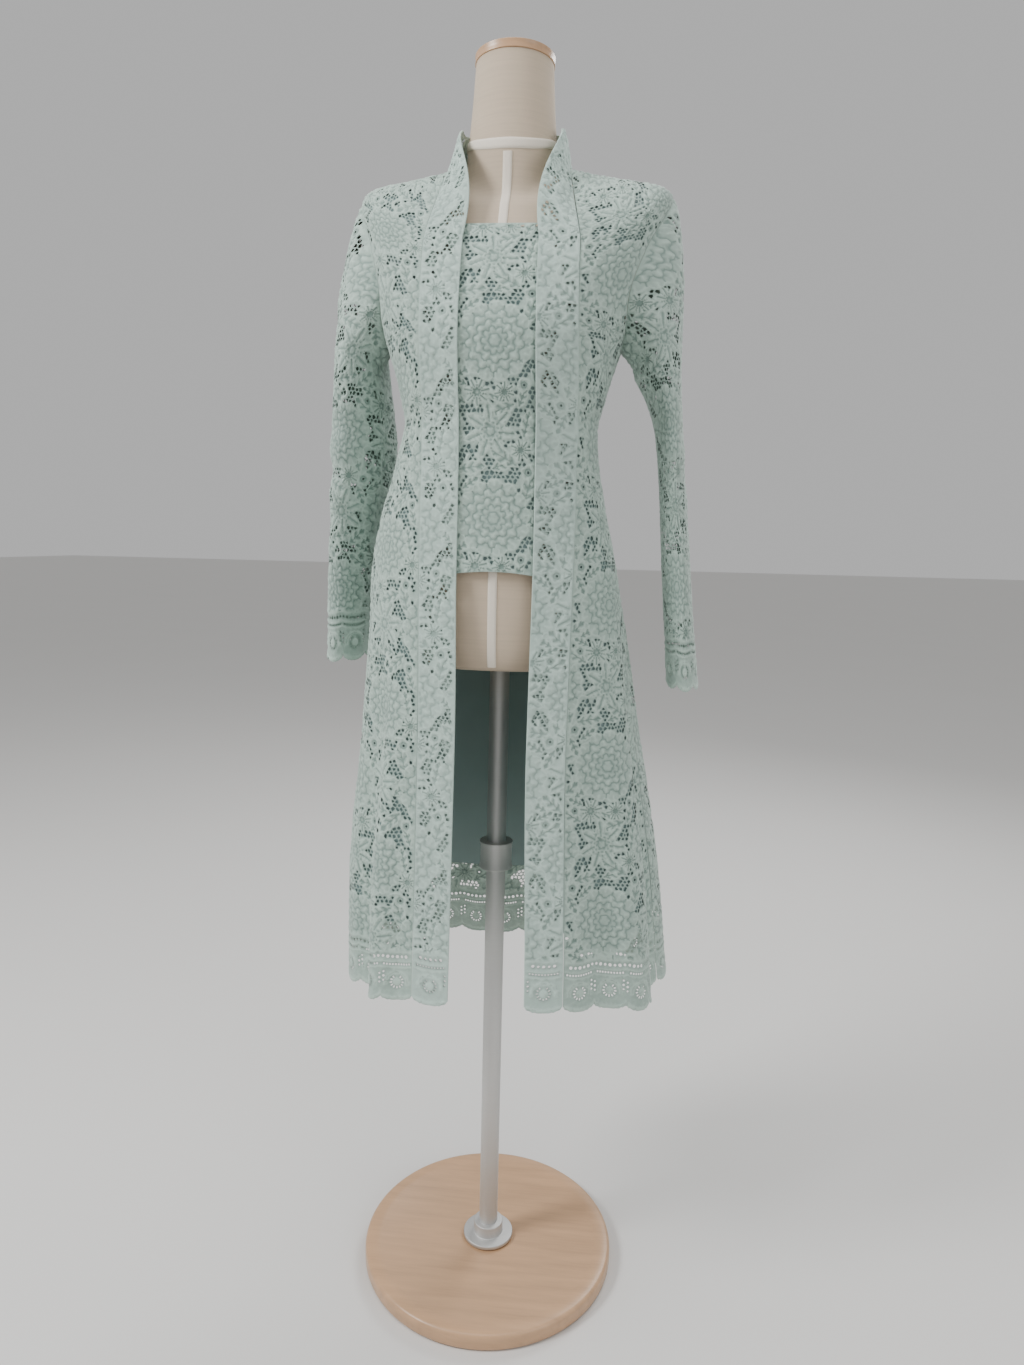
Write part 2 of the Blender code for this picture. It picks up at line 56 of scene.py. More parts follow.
# The outer face of the body's cloth, from the neck down to the hem: its heights at the front, the
# side and the back, its half widths on the right and the left, its depths in front and behind, the
# y of its sides, and how square it is.
BODY = (
    (1.383, 1.414, 1.434, 0.069, 0.071, 0.046, 0.087, 0.020, 2.0),
    (1.358, 1.405, 1.414, 0.112, 0.116, 0.065, 0.090, 0.022, 2.1),
    (1.325, 1.386, 1.380, 0.174, 0.188, 0.084, 0.096, 0.022, 2.3),
    (1.285, 1.328, 1.333, 0.170, 0.178, 0.103, 0.100, 0.018, 2.4),
    (1.245, 1.260, 1.270, 0.155, 0.155, 0.116, 0.099, 0.010, 2.4),
    (1.205, 1.206, 1.210, 0.140, 0.136, 0.123, 0.094, 0.004, 2.4),
    (1.155, 1.155, 1.155, 0.126, 0.121, 0.117, 0.084, 0.000, 2.3),
    (1.105, 1.105, 1.105, 0.122, 0.112, 0.106, 0.078, 0.000, 2.2),
    (1.020, 1.020, 1.020, 0.147, 0.126, 0.104, 0.092, 0.000, 2.2),
    (0.950, 0.950, 0.950, 0.161, 0.142, 0.107, 0.108, 0.000, 2.2),
    (0.860, 0.860, 0.860, 0.165, 0.158, 0.113, 0.119, 0.000, 2.2),
    (0.740, 0.735, 0.735, 0.174, 0.177, 0.122, 0.131, 0.000, 2.1),
    (0.585, 0.575, 0.570, 0.188, 0.203, 0.135, 0.146, 0.000, 2.1),
    (0.440, 0.416, 0.404, 0.189, 0.221, 0.148, 0.160, 0.000, 2.1),
)
# Columns of a section, and rows of the body.
RIGHT, LEFT, MID_Y, SQUARE = 3, 4, 7, 8
NECK, SHOULDER_TIP, UNDERARM, WAIST, HEM = 0, 2, 5, 7, 13
SIDE, CENTRE_BACK = 90.0, 180.0
SHOULDER_RISE = 3.0

# The skirt's large folds: turn, spread, depth and the row where each starts.
FOLDS = (
    (-40, 11, 0.016, 9.5), (-54, 12, -0.012, 9.0), (-74, 16, 0.003, 8.5), (41, 13, -0.007, 9.5),
    (56, 15, 0.011, 9.0), (80, 15, -0.021, 9.0), (104, 16, 0.015, 8.5), (132, 18, -0.012, 9.0),
    (158, 18, 0.010, 9.0), (185, 16, -0.008, 9.5), (211, 20, 0.011, 8.5), (243, 18, -0.010, 9.0),
)
# Soft creases of the cloth: row, turn, half length in rows, half width in degrees, how many
# degrees they lean for each row, and depth.
CREASES = (
    (4.4, 58, 1.0, 5, 9, -0.0022), (4.1, 70, 0.9, 5, 10, 0.0020), (4.6, -60, 1.0, 5, -9, -0.0022),
    (4.2, -70, 0.8, 5, -8, 0.0018), (3.0, 50, 0.9, 6, 8, 0.0018), (2.9, -48, 0.9, 6, -7, 0.0016),
    (6.6, 62, 0.22, 24, 20, -0.0018), (7.0, 66, 0.20, 26, 30, 0.0020), (7.5, 60, 0.25, 22, 20, -0.0016),
    (6.7, -58, 0.22, 26, -25, -0.0018), (7.2, -62, 0.24, 24, -20, 0.0018), (7.7, -70, 0.2, 22, -20, -0.0014),
    (6.8, 150, 0.25, 26, 20, -0.0022), (7.3, 206, 0.28, 28, -20, 0.0024), (6.5, 212, 0.2, 20, 15, -0.0018),
    (3.4, 128, 1.1, 6, -8, -0.0022), (3.4, 232, 1.1, 6, 8, -0.0020), (2.4, 160, 0.6, 14, 10, 0.0020),
    (2.5, 203, 0.6, 12, -10, 0.0018), (10.6, -30, 1.8, 4, 1, 0.0020), (11.2, 66, 1.6, 5, -1, 0.0024),
    (10.8, 94, 1.8, 5, 2, -0.0026), (11.6, 118, 1.4, 6, 1, 0.0028), (11.4, 146, 1.5, 5, -1, -0.0024),
    (11.8, 172, 1.3, 6, 1, 0.0030), (11.0, 198, 1.8, 5, 1, -0.0022), (11.7, 226, 1.3, 6, -1, 0.0026),
    (11.3, 258, 1.6, 6, 1, 0.0022), (9.3, 60, 0.8, 9, 6, 0.0016), (9.0, -66, 0.9, 9, -6, -0.0018),
)

# How far the armhole cuts into the front and the back, in degrees, and how round it is.
ARMHOLE_FRONT, ARMHOLE_BACK, ARMHOLE_ROUND = 29.0, 25.0, 0.75
SEAM = 0.0005
BAND_WIDTH = 0.044
# The inner edges of the bands: row, and the distance from the centre on the right and the left.
BAND_EDGE = (
    (2.5, 0.041, 0.043), (7, 0.041, 0.046), (9, 0.041, 0.047),
    (11, 0.038, 0.046), (13, 0.038, 0.053),
)
BAND_TOP = 2.5
BAND_LIFT = 0.0012
BAND_DEEP = 0.0020
NECK_POINT, BAND_SWING = 0.0675, 0.9
COLLAR_LEAN_SIDE, COLLAR_LEAN_BACK = 0.20, 0.06
FRONT_TOP = 0.03
CENTRE_TOP, CENTRE_BOTTOM, CENTRE_HALF, CENTRE_SINK = 1.9, 9.08, 0.049, 0.0034
LINING_SINK, CENTRE_LINING_SINK = 0.0024, 0.0054
FRONT_LINING_TOP, BACK_LINING_TOP, CENTRE_LINING_BOTTOM = 2.0 / 3.0, 0.1, 9.0
LINING_BOTTOM = HEM - (HEM - UNDERARM) / 12

# Rings round the hanging sleeves: z, the middle's distance out, y, half axes and twist.
SLEEVE_RIGHT = (
    (1.185, 0.182, 0.020, 0.030, 0.058, 5), (1.085, 0.182, 0.032, 0.028, 0.057, 22),
    (0.960, 0.196, 0.046, 0.024, 0.056, 17), (0.829, 0.206, 0.040, 0.021, 0.052, 8),
)
SLEEVE_LEFT = (
    (1.185, 0.181, 0.018, 0.027, 0.062, 4), (1.115, 0.199, 0.022, 0.016, 0.061, 0),
    (0.950, 0.216, 0.024, 0.017, 0.058, 0), (0.811, 0.230, 0.020, 0.019, 0.053, 0),
)
# How strongly and which way the sleeve's cap leaves the armhole.
CAP_REACH, CAP_OUT = 0.07, (0.66, 0.0, -0.75)
# The rings along a hanging sleeve and over its cap, and the step of the cut's levels.
SLEEVE_RINGS, CAP_RINGS, SLEEVE_STEP = 60, 30, 0.006
# Creases of the sleeves: height above the cuff, angle round from the outside through the front,
# half length, half width in degrees, lean in degrees a metre, and depth.
SLEEVE_CREASES_RIGHT = (
    (0.235, 60, 0.012, 70, 300, -0.0026), (0.262, 55, 0.012, 60, 300, 0.0024),
    (0.205, 80, 0.012, 60, 200, 0.0020), (0.290, 95, 0.010, 55, -300, -0.0022),
    (0.175, 60, 0.010, 55, 200, -0.0018), (0.330, 70, 0.060, 13, 260, 0.0030),
    (0.120, 75, 0.080, 14, 60, 0.0022), (0.080, 30, 0.060, 14, -60, -0.0016),
    (0.250, 200, 0.014, 60, 0, -0.0020), (0.280, 290, 0.014, 60, 200, 0.0020),
    (0.220, 300, 0.013, 60, 100, -0.0020), (0.420, 40, 0.050, 16, 200, -0.0022),
    (0.450, 20, 0.040, 14, -100, 0.0024), (0.060, 100, 0.006, 60, 0, 0.0012),
    (0.400, 310, 0.050, 16, -150, 0.0022),
)
SLEEVE_CREASES_LEFT = (
    (0.255, 60, 0.012, 60, -300, -0.0022), (0.282, 65, 0.011, 60, -300, 0.0022),
    (0.225, 50, 0.012, 55, -200, 0.0018), (0.310, 90, 0.012, 50, 300, -0.0018),
    (0.195, 75, 0.010, 50, -200, -0.0016), (0.350, 50, 0.060, 13, -260, 0.0026),
    (0.130, 60, 0.080, 14, 60, 0.0020), (0.090, 20, 0.060, 14, -60, -0.0014),
    (0.260, 290, 0.014, 60, 200, 0.0018), (0.230, 300, 0.013, 60, 100, -0.0018),
    (0.430, 40, 0.050, 16, -200, -0.0022), (0.470, 25, 0.040, 14, 100, 0.0022),
    (0.410, 310, 0.050, 16, 150, 0.0022),
)

# How far the form is drawn in from the cloth, and its sections above and below the body's own.
FORM_EASE = 0.0100
FORM_NECK = (
    (1.533, 1.533, 1.533, 0.046, 0.046, 0.018, 0.074, 0.028, 2.0),
    (1.482, 1.482, 1.482, 0.049, 0.049, 0.024, 0.074, 0.025, 2.0),
    (1.428, 1.440, 1.446, 0.053, 0.053, 0.031, 0.075, 0.022, 2.0),
)
FORM_HIPS = (
    (1.020, 1.020, 1.020, 0.118, 0.118, 0.092, 0.081, 0.000, 2.2),
    (0.935, 0.935, 0.935, 0.130, 0.130, 0.096, 0.095, 0.000, 2.2),
    (0.865, 0.865, 0.865, 0.129, 0.129, 0.094, 0.094, 0.000, 2.2),
    (0.836, 0.836, 0.836, 0.122, 0.122, 0.088, 0.088, 0.000, 2.2),
    (0.830, 0.830, 0.830, 0.112, 0.112, 0.079, 0.079, 0.000, 2.2),
)
# The neck tape's row and its half width in rows, and the front tape's half width in metres.
NECK_TAPE_ROW, NECK_TAPE_HALF = 2.0, 0.118
FRONT_TAPE_HALF = 0.0052
# The pole's flange and collar, and the height of an edge round the pole.
FLANGE_RADIUS, COLLAR_RADIUS, COLLAR_HEIGHTS, POLE_JOINT = 0.034, 0.022, (0.560, 0.596), 0.30

# The lace's repeat, the net's cells in it, and the step of the filling points.
REPEAT_WIDE, REPEAT_TALL = 0.150, 0.190
NET_COLUMNS, NET_ROWS = 28, 40
FILL_STEP = 0.0028
# How deep the scalloped border is, and how wide each of its scallops.
BORDER, SCALLOP = 0.060, 0.042
# How far from the cut's edge the openings, the cords and the filling points stay.
HOLE_MARGIN, CORD_MARGIN, FILL_MARGIN = 0.0016, 0.0012, 0.0015
# The least distance from a motif's edge to the middle of an open net cell, and to its corners.
NET_ROOM, NET_CORNER_ROOM = 0.0016, 0.0008
# How far the net's knots are shaken out of place, and the share of its cells that stay closed.
SHAKEN, NET_MISSING = 0.0012, 0.08
# The corners of a square eyelet.
SQUARE_CORNERS = ((-1, -1), (1, -1), (1, 1), (-1, 1))

# Where the camera is, and its turn, tilt down and roll in degrees.
CAMERA_AT = (0.1276, -1.1363, 0.9844)
CAMERA_TURN, CAMERA_DOWN, CAMERA_ROLL = 5.62, 8.94, 1.335
LAMPS_AIM = (0.0, 0.0, 0.95)
# Lamps: name, place, size and share of the key light's power.
LAMPS = (
    ("key", (-2.1, -1.1, 2.5), 0.9, 1.0),
    ("fill", (1.9, -1.6, 1.6), 1.6, 0.22),
    ("rim", (1.0, 1.9, 2.3), 1.2, 0.45),
    ("top", (0.0, -0.3, 3.2), 1.6, 0.35),
)


# ---------------------------------------------------------------- settings


def colour_setting(name, description, default):
    return bpy.props.FloatVectorProperty(
        name=name, description=description, subtype="COLOR", default=default
    )


def length_setting(name, description, default):
    return bpy.props.FloatProperty(name=name, description=description, default=default, unit="LENGTH")


class LaceSettings(bpy.types.PropertyGroup):
    cord_height: length_setting("Cord height", "How far the cords stand out of the lace", 0.0010)
    outline_height: length_setting("Outline height", "How far the edges of the flowers stand out", 0.0006)
    opening_share: bpy.props.FloatProperty(
        name="Net opening", description="How much of a net cell is open", default=0.76, min=0.3, max=0.9
    )
    # Painted light and shade: the cords take the lace or band colour as painted light, and the valley colour
    # is painted shade between the cords and round the openings.
    lace_colour: colour_setting("Lace", "Colour of the lace's cords", (0.54, 0.68, 0.60))
    valley_shade_colour: colour_setting("Lace valleys", "Colour between the cords", (0.17, 0.25, 0.22))
    band_colour: colour_setting("Bands", "Colour of the double front bands", (0.57, 0.72, 0.65))
    # The lining colour is partly the satin's own teal and partly painted shade: it is given as dark as the
    # satin looks in shade behind the lace.
    lining_colour_in_shade: colour_setting("Lining", "Colour of the satin lining", (0.21, 0.31, 0.30))


class FormSettings(bpy.types.PropertyGroup):
    linen_colour: colour_setting("Linen", "Colour of the dress form's linen", (0.63, 0.51, 0.38))
    tape_colour: colour_setting("Tape", "Colour of the cotton tapes", (0.82, 0.75, 0.64))
    wood_colour: colour_setting("Wood", "Colour of the turned wood", (0.56, 0.34, 0.19))
    cap_radius: length_setting("Neck cap radius", "Radius of the wooden cap on the neck", 0.0475)
    pole_radius: length_setting("Pole radius", "Radius of the steel pole", 0.0125)
    base_radius: length_setting("Base radius", "Radius of the round base", 0.170)


class StageSettings(bpy.types.PropertyGroup):
    floor_colour: colour_setting("Floor", "Colour of the floor", (0.72, 0.71, 0.69))
    key_power: bpy.props.FloatProperty(
        name="Key light", description="Power of the large soft light", default=70.0, unit="POWER"
    )
    lens: bpy.props.FloatProperty(
        name="Lens", description="Focal length of the camera", default=24.0, unit="CAMERA"
    )


# ---------------------------------------------------------------- the body's surface


def through(table, place):
    """The Catmull-Rom curve through a table's rows, at places counted in rows."""
    table = np.asarray(table, float)
    place = np.asarray(place, float)
    index = np.clip(place.astype(int), 0, len(table) - 2)
    share = (place - index)[..., None]
    a, b, c, d = (table[np.clip(index + step, 0, len(table) - 1)] for step in (-1, 0, 1, 2))
    curve = 2 * b + (c - a) * share + (2 * a - 5 * b + 4 * c - d) * share**2
    return 0.5 * (curve + (3 * b - a - 3 * c + d) * share**3)


def smooth(share):
    share = np.clip(share, 0.0, 1.0)
    return share * share * (3.0 - 2.0 * share)


def fold_depth(row, turn):
    """How far the skirt's folds stand out there."""
    total = np.zeros(np.broadcast(row, turn).shape)
    for middle, spread, depth, start in FOLDS:
        away = np.abs((turn - middle + 180.0) % 360.0 - 180.0) / spread
        growth = smooth((row - start) / (HEM - start))
        total += np.where(away < 1.0, depth * growth * (0.5 + 0.5 * np.cos(pi * np.minimum(away, 1.0))), 0.0)
    return total


def crease_depth(row, turn):
    """How far the soft creases stand out there."""
    total = np.zeros(np.broadcast(row, turn).shape)
    for middle, at, long, wide, lean, depth in CREASES:
        along = (row - middle) / long
        off = (turn - at - lean * (row - middle) + 180.0) % 360.0 - 180.0
        total += depth * np.exp(-(along**2) - (off / wide) ** 2)
    return total


def section_point(sections, row, turn, cloth=True):
    """Points on the surface that is lofted through the sections."""
    row, turn = np.broadcast_arrays(np.asarray(row, float), np.asarray(turn, float))
    place = np.moveaxis(through(sections, row), -1, 0)
    front_z, side_z, back_z, right, left, front, back, mid_y, square = place
    across, along = np.sin(np.radians(turn)), np.cos(np.radians(turn))
    half = np.where(across >= 0.0, left, right)
    reach = np.where(along >= 0.0, front + mid_y, back - mid_y)
    level = np.where(along >= 0.0, front_z, back_z)
    x = np.sign(across) * half * np.abs(across) ** (2.0 / square)
    y = mid_y - np.sign(along) * reach * np.abs(along) ** (2.0 / square)
    z = level + (side_z - level) * np.abs(across) ** SHOULDER_RISE
    point = np.stack([x, y, z], -1)
    if cloth:
        out = np.stack([x / half**2, (y - mid_y) / reach**2, 0 * x], -1)
        out /= np.linalg.norm(out, axis=-1)[..., None]
        point = point + out * (fold_depth(row, turn) + crease_depth(row, turn))[..., None]
    return point


def lifted(sections, row, turn, lift, cloth=True):
    """Points on the surface, moved out along its normal."""
    row_step, turn_step = 0.02, 0.4

    def across(rows, turns):
        ahead = section_point(sections, row + rows, turn + turns, cloth)
        return ahead - section_point(sections, row - rows, turn - turns, cloth)

    normal = np.cross(across(row_step, 0.0), across(0.0, turn_step))
    normal /= np.linalg.norm(normal, axis=-1)[..., None]
    return section_point(sections, row, turn, cloth) + normal * np.asarray(lift)[..., None]


def turn_at(row, x, sections=BODY):
    """The turn on the front where the surface is x from the centre."""
    place = through(sections, row)
    half = np.where(np.asarray(x) >= 0.0, place[..., LEFT], place[..., RIGHT])
    across = np.minimum(np.abs(x) / half, 1.0) ** (place[..., SQUARE] / 2.0)
    return np.sign(x) * np.degrees(np.arctan2(across, np.sqrt(1.0 - across**2)))


def seam_turn(row, turn):
    """How many degrees an edge draws back for its half of the seam's gap."""
    apart = section_point(BODY, row, turn + 1.0) - section_point(BODY, row, turn - 1.0)
    return 2.0 * SEAM / np.linalg.norm(apart, axis=-1)


def armhole_turn(row, cut):
    share = np.clip((np.asarray(row, float) - SHOULDER_TIP) / (UNDERARM - SHOULDER_TIP), 0.0, 1.0)
    return cut * np.abs(np.sin(pi * share)) ** ARMHOLE_ROUND


def band_inner(row, side):
    column = 2 if side > 0 else 1
    row = np.clip(np.asarray(row, float), BAND_EDGE[0][0], BAND_EDGE[-1][0])
    value = np.full(row.shape, BAND_EDGE[0][column])
    for upper, lower in zip(BAND_EDGE, BAND_EDGE[1:]):
        share = smooth((row - upper[0]) / (lower[0] - upper[0]))
        value = np.where(row >= upper[0], upper[column] + (lower[column] - upper[column]) * share, value)
    return value


def band_outer(row, side):
    row = np.asarray(row, float)
    low = band_inner(BAND_TOP, side) + BAND_WIDTH
    swing = NECK_POINT + (low - NECK_POINT) * np.clip(row / BAND_TOP, 0.0, 1.0) ** BAND_SWING
    return np.where(row >= BAND_TOP, band_inner(row, side) + BAND_WIDTH, swing)


# ---------------------------------------------------------------- a cut piece and its surface


class Cut:
    """A flat cut and the surface that it takes: u runs across the piece and v up it, in metres."""

    def __init__(self, points, levels, starts, ends, core):
        self.points, self.levels, self.starts, self.ends = points, levels, starts, ends
        normals = np.cross(np.gradient(points, axis=1), np.gradient(points, axis=0))
        normals /= np.linalg.norm(normals, axis=2)[:, :, None] + 1e-12
        if ((points - core[:, None]) * normals).sum() < 0.0:
            normals = -normals
        self.normals = normals
        self.top_u = np.array([-9.0, 9.0])
        self.top_v = np.array([levels[-1], levels[-1]])

    def start(self, v):
        return np.interp(v, self.levels, self.starts)

    def end(self, v):
        return np.interp(v, self.levels, self.ends)

    def top(self, u):
        return np.interp(u, self.top_u, self.top_v)

    def at(self, u, v, lift):
        rows, columns = self.points.shape[:2]
        level = np.interp(v, self.levels, np.arange(rows))
        start, end = self.start(v), self.end(v)
        place = np.clip((u - start) / (end - start), 0.0, 1.0) * (columns - 1)
        i, j = np.minimum(level.astype(int), rows - 2), np.minimum(place.astype(int), columns - 2)
        a, b = (level - i)[:, None], (place - j)[:, None]

        def mixed(grid):
            upper = grid[i, j] * (1 - b) + grid[i, j + 1] * b
            lower = grid[i + 1, j] * (1 - b) + grid[i + 1, j + 1] * b
            return upper * (1 - a) + lower * a

        normal = mixed(self.normals)
        normal /= np.linalg.norm(normal, axis=1)[:, None]
        return mixed(self.points) + normal * np.asarray(lift)[..., None]


def spaced(points, count):
    """Each row of points again, evenly spaced by length, and each row's lengths so far."""
    steps = np.linalg.norm(np.diff(points, axis=1), axis=2)
    lengths = np.concatenate([np.zeros((len(points), 1)), np.cumsum(steps, axis=1)], axis=1)
    rows = []
    for row, length in zip(points, lengths):
        even = np.linspace(0.0, length[-1], count)
        rows.append(np.stack([np.interp(even, length, row[:, axis]) for axis in range(3)], 1))
    return np.array(rows), lengths


def body_cut(bottom, top, edges, zero_turn=None, overhang=0.06):
    """The cut of a body panel, between the two turns that edges gives for each row."""
    rows = np.concatenate([[bottom + overhang], np.linspace(bottom, top, 130)])
    first, last = edges(rows)
    shares = np.linspace(0.0, 1.0, 161)
    turns = first[:, None] + (last - first)[:, None] * shares
    raw = section_point(BODY, rows[:, None] + 0 * turns, turns)
    points, lengths = spaced(raw, 121)
    rise = np.linalg.norm(np.diff(points, axis=0), axis=2).mean(1)
    levels = np.concatenate([[0.0], np.cumsum(rise)])
    levels -= levels[1]
    zero = np.zeros(len(rows))
    if zero_turn is not None:
        zero = np.array([np.interp(zero_turn, turn, length) for turn, length in zip(turns, lengths)])
    core = points.mean(1)
    core[:, :2] = 0.0
    return Cut(points, levels, -zero, lengths[:, -1] - zero, core)


def front_edges(side):
    def edges(rows):
        inner = np.abs(turn_at(rows, side * band_outer(rows, side)))
        inner = inner + 2.0 * seam_turn(rows, side * inner)
        outer = SIDE - armhole_turn(rows, ARMHOLE_FRONT) - seam_turn(rows, side * SIDE)
        return side * inner, side * outer

    return edges


def back_edges(rows):
    left = SIDE + armhole_turn(rows, ARMHOLE_BACK) + seam_turn(rows, SIDE)
    right = 360.0 - SIDE - armhole_turn(rows, ARMHOLE_BACK) - seam_turn(rows, -SIDE)
    return left, right


def centre_edges(half):
    def edges(rows):
        return turn_at(rows, -half + 0 * rows), turn_at(rows, half + 0 * rows)

    return edges


def band_cut(side):
    """The cut of a band: up the front from the hem, and round the neck to the centre back."""
    rows = np.concatenate([[HEM + 0.06], np.linspace(HEM, BAND_TOP, 110)])
    outer = lifted(BODY, rows, turn_at(rows, side * band_outer(rows, side)), BAND_LIFT)
    inner = lifted(BODY, rows, turn_at(rows, side * band_inner(rows, side)), BAND_LIFT)
    lying = Vector(inner[-1] - outer[-1]).normalized()
    turning_rows = np.linspace(BAND_TOP, 0.0, 29)[1:]
    turning = [(row, abs(float(turn_at(row, side * band_outer(row, side))))) for row in turning_rows]
    around = np.linspace(turning[-1][1], CENTRE_BACK - 2.0 * float(seam_turn(0.0, CENTRE_BACK)), 37)[1:]
    outer, inner = list(outer), list(inner)
    for index, (row, turn) in enumerate(turning + [(0.0, turn) for turn in around]):
        place = Vector(lifted(BODY, row, side * turn, BAND_LIFT))
        inward = (Vector((0.0, BODY[0][MID_Y], place.z)) - place).normalized()
        lean = COLLAR_LEAN_SIDE + (COLLAR_LEAN_BACK - COLLAR_LEAN_SIDE) * float(smooth((turn - SIDE) / SIDE))
        standing = (Vector((0.0, 0.0, 1.0)) + lean * inward).normalized()
        share = float(smooth((index + 1) / len(turning)))
        direction = lying.slerp(standing, share) if share < 1.0 else standing
        place += direction * 2.0 * SEAM * share
        outer.append(np.array(place))
        inner.append(np.array(place + direction * BAND_WIDTH))
    outer, inner = np.array(outer), np.array(inner)
    shares = np.linspace(0.0, 1.0, 13)[None, :, None]
    points = outer[:, None] * (1 - shares) + inner[:, None] * shares
    rise = np.linalg.norm(np.diff(points, axis=0), axis=2).mean(1)
    levels = np.concatenate([[0.0], np.cumsum(rise)])
    levels -= levels[1]
    core = points.mean(1)
    core[:, :2] *= 0.5
    width = np.full(len(levels), BAND_WIDTH)
    return Cut(points, levels, 0.0 * width, width, core)


def armhole_loop(side, count):
    """The armhole, from the shoulder tip down its front and up its back."""
    rows = SHOULDER_TIP + (UNDERARM - SHOULDER_TIP) * (0.5 - 0.5 * np.cos(np.linspace(0.0, pi, count + 1)))
    inside = np.clip(rows, SHOULDER_TIP + 0.03, UNDERARM - 0.03)
    edges = []
    for cut, way in ((ARMHOLE_FRONT, -1.0), (ARMHOLE_BACK, 1.0)):
        away = np.maximum(armhole_turn(rows, cut) - seam_turn(rows, side * SIDE), 0.0)
        edges.append(section_point(BODY, inside, side * (SIDE + way * away)))
    return np.concatenate([edges[0][:-1], edges[1][:0:-1]])


def sleeve_cut(side, table, creases):
    """The cut of a sleeve, opened along the underarm: v runs up from the cuff to the armhole."""
    half_count = 36
    loop = armhole_loop(side, half_count)
    angles = 2.0 * pi * np.arange(2 * half_count) / (2 * half_count)
    rings = []
    for place in np.linspace(len(table) - 1.0, 0.0, SLEEVE_RINGS):
        z, out, y, half_out, half_deep, twist = through(table, place)
        wide, deep, twist = half_out * np.cos(angles), -half_deep * np.sin(angles), radians(twist)
        x = out + wide * cos(twist) - deep * sin(twist)
        rings.append(np.stack([side * x, y + wide * sin(twist) + deep * cos(twist), 0 * x + z], 1))
    first = rings[-1]
    leave = np.array(CAP_OUT) * (side, 1.0, 1.0) * CAP_REACH
    for share in np.linspace(1.0, 0.0, CAP_RINGS)[1:]:
        start, end = 2 * share**3 - 3 * share**2 + 1, 3 * share**2 - 2 * share**3
        away, arrive = share**3 - 2 * share**2 + share, share**3 - share**2
        fall = np.zeros_like(loop)
        fall[:, 2] = first[:, 2] - loop[:, 2]
        rings.append(start * loop + end * first + away * leave + arrive * fall)
    rings = np.roll(np.array(rings), half_count, axis=1)
    rings = np.concatenate([rings, rings[:, :1]], axis=1)
    rise = np.linalg.norm(np.diff(rings, axis=0), axis=2)
    heights = np.concatenate([np.zeros((1, rings.shape[1])), np.cumsum(rise, axis=0)])
    straight = heights[SLEEVE_RINGS - 1].mean()
    above = np.arange(0.0, heights[-1].max() + SLEEVE_STEP, SLEEVE_STEP)
    levels = np.concatenate([[-SLEEVE_STEP], above])
    points = np.empty((len(levels), rings.shape[1], 3))
    for column in range(rings.shape[1]):
        height, line = heights[:, column], rings[:, column]
        for axis in range(3):
            points[:, column, axis] = np.interp(levels, height, line[:, axis])
        beyond = levels > height[-1]
        way = (line[-1] - line[-3]) / (height[-1] - height[-3])
        points[beyond, column] = line[-1] + way * (levels[beyond] - height[-1])[:, None]
        below = levels < 0.0
        way = (line[1] - line[0]) / (height[1] - height[0])
        points[below, column] = line[0] + way * levels[below][:, None]
    around = np.linspace(-180.0, 180.0, rings.shape[1])
    core = points.mean(1)
    out = points - core[:, None]
    out /= np.linalg.norm(out, axis=2)[:, :, None]
    depth = np.zeros(points.shape[:2])
    for height, angle, long, wide, lean, deep in creases:
        off = (around[None] - angle - lean * (levels[:, None] - height) + 180.0) % 360.0 - 180.0
        depth += deep * np.exp(-(((levels[:, None] - height) / long) ** 2) - (off / wide) ** 2)
    points = points + out * depth[:, :, None]
    lengths = np.linalg.norm(np.diff(points, axis=1), axis=2).sum(1)
    steady = np.interp(straight, levels, lengths)
    half = np.where(levels < straight, lengths, steady) / 2.0
    cut = Cut(points, levels, -half, half, core)
    cut.top_u = around / 180.0 * half[-1]
    cut.top_v = heights[-1]
    return cut


# ---------------------------------------------------------------- the lace's drawing


# What a point of the drawing is: the cut's own edge, an opening's edge, a raised vein, the raised
# edge of a motif, the cloth between them, and a sunk line between petals.
CUT_EDGE, OPENING, CORD, OUTLINE, GROUND, GROOVE = range(6)


def turned(points, angle, at):
    c, s = cos(angle), sin(angle)
    return np.asarray(points) @ np.array([[c, s], [-s, c]]) + at


def closed(line):
    return np.vstack([line, line[:1]])


def petal_ring(radius, dip, petals, each, phase=0.0, pointed=False):
    """A closed line round a flower: it dips between the petals."""
    angles = np.arange(petals * each) * 2.0 * pi / (petals * each) + phase
    half = (angles - phase) * petals / 2.0
    lobes = 1.0 - np.abs(np.sin(half)) ** 1.25 if pointed else np.abs(np.cos(half)) ** 0.7
    reach = radius * (1.0 - dip + dip * lobes)
    return np.stack([reach * np.cos(angles), reach * np.sin(angles)], 1)


def spokes(inner, outer, count, phase, points=3, bend=0.0):
    lines = []
    for index in range(count):
        angles = 2.0 * pi * index / count + phase + bend * np.linspace(0.0, 1.0, points)
        reach = np.linspace(inner, outer, points)
        lines.append(np.stack([reach * np.cos(angles), reach * np.sin(angles)], 1))
    return lines


def dahlia(radius):
    lines = []
    rings = ((0.78, 13, 5, 0.24), (0.56, 11, 5, 0.1), (0.36, 9, 4, 0.3), (0.17, 6, 3, 0.0))
    for share, petals, each, phase in rings:
        lines.append((closed(petal_ring(radius * share, 0.26, petals, each, phase)), GROOVE))
    veins = (
        (0.84, 0.95, 13, 0.0, CORD), (0.78, 0.90, 13, pi / 13, GROOVE),
        (0.61, 0.72, 13, 0.24, CORD), (0.41, 0.50, 11, 0.1, CORD),
    )
    for inner, outer, count, phase, kind in veins:
        lines += [(line, kind) for line in spokes(radius * inner, radius * outer, count, phase)]
    return petal_ring(radius, 0.15, 13, 7), lines, []


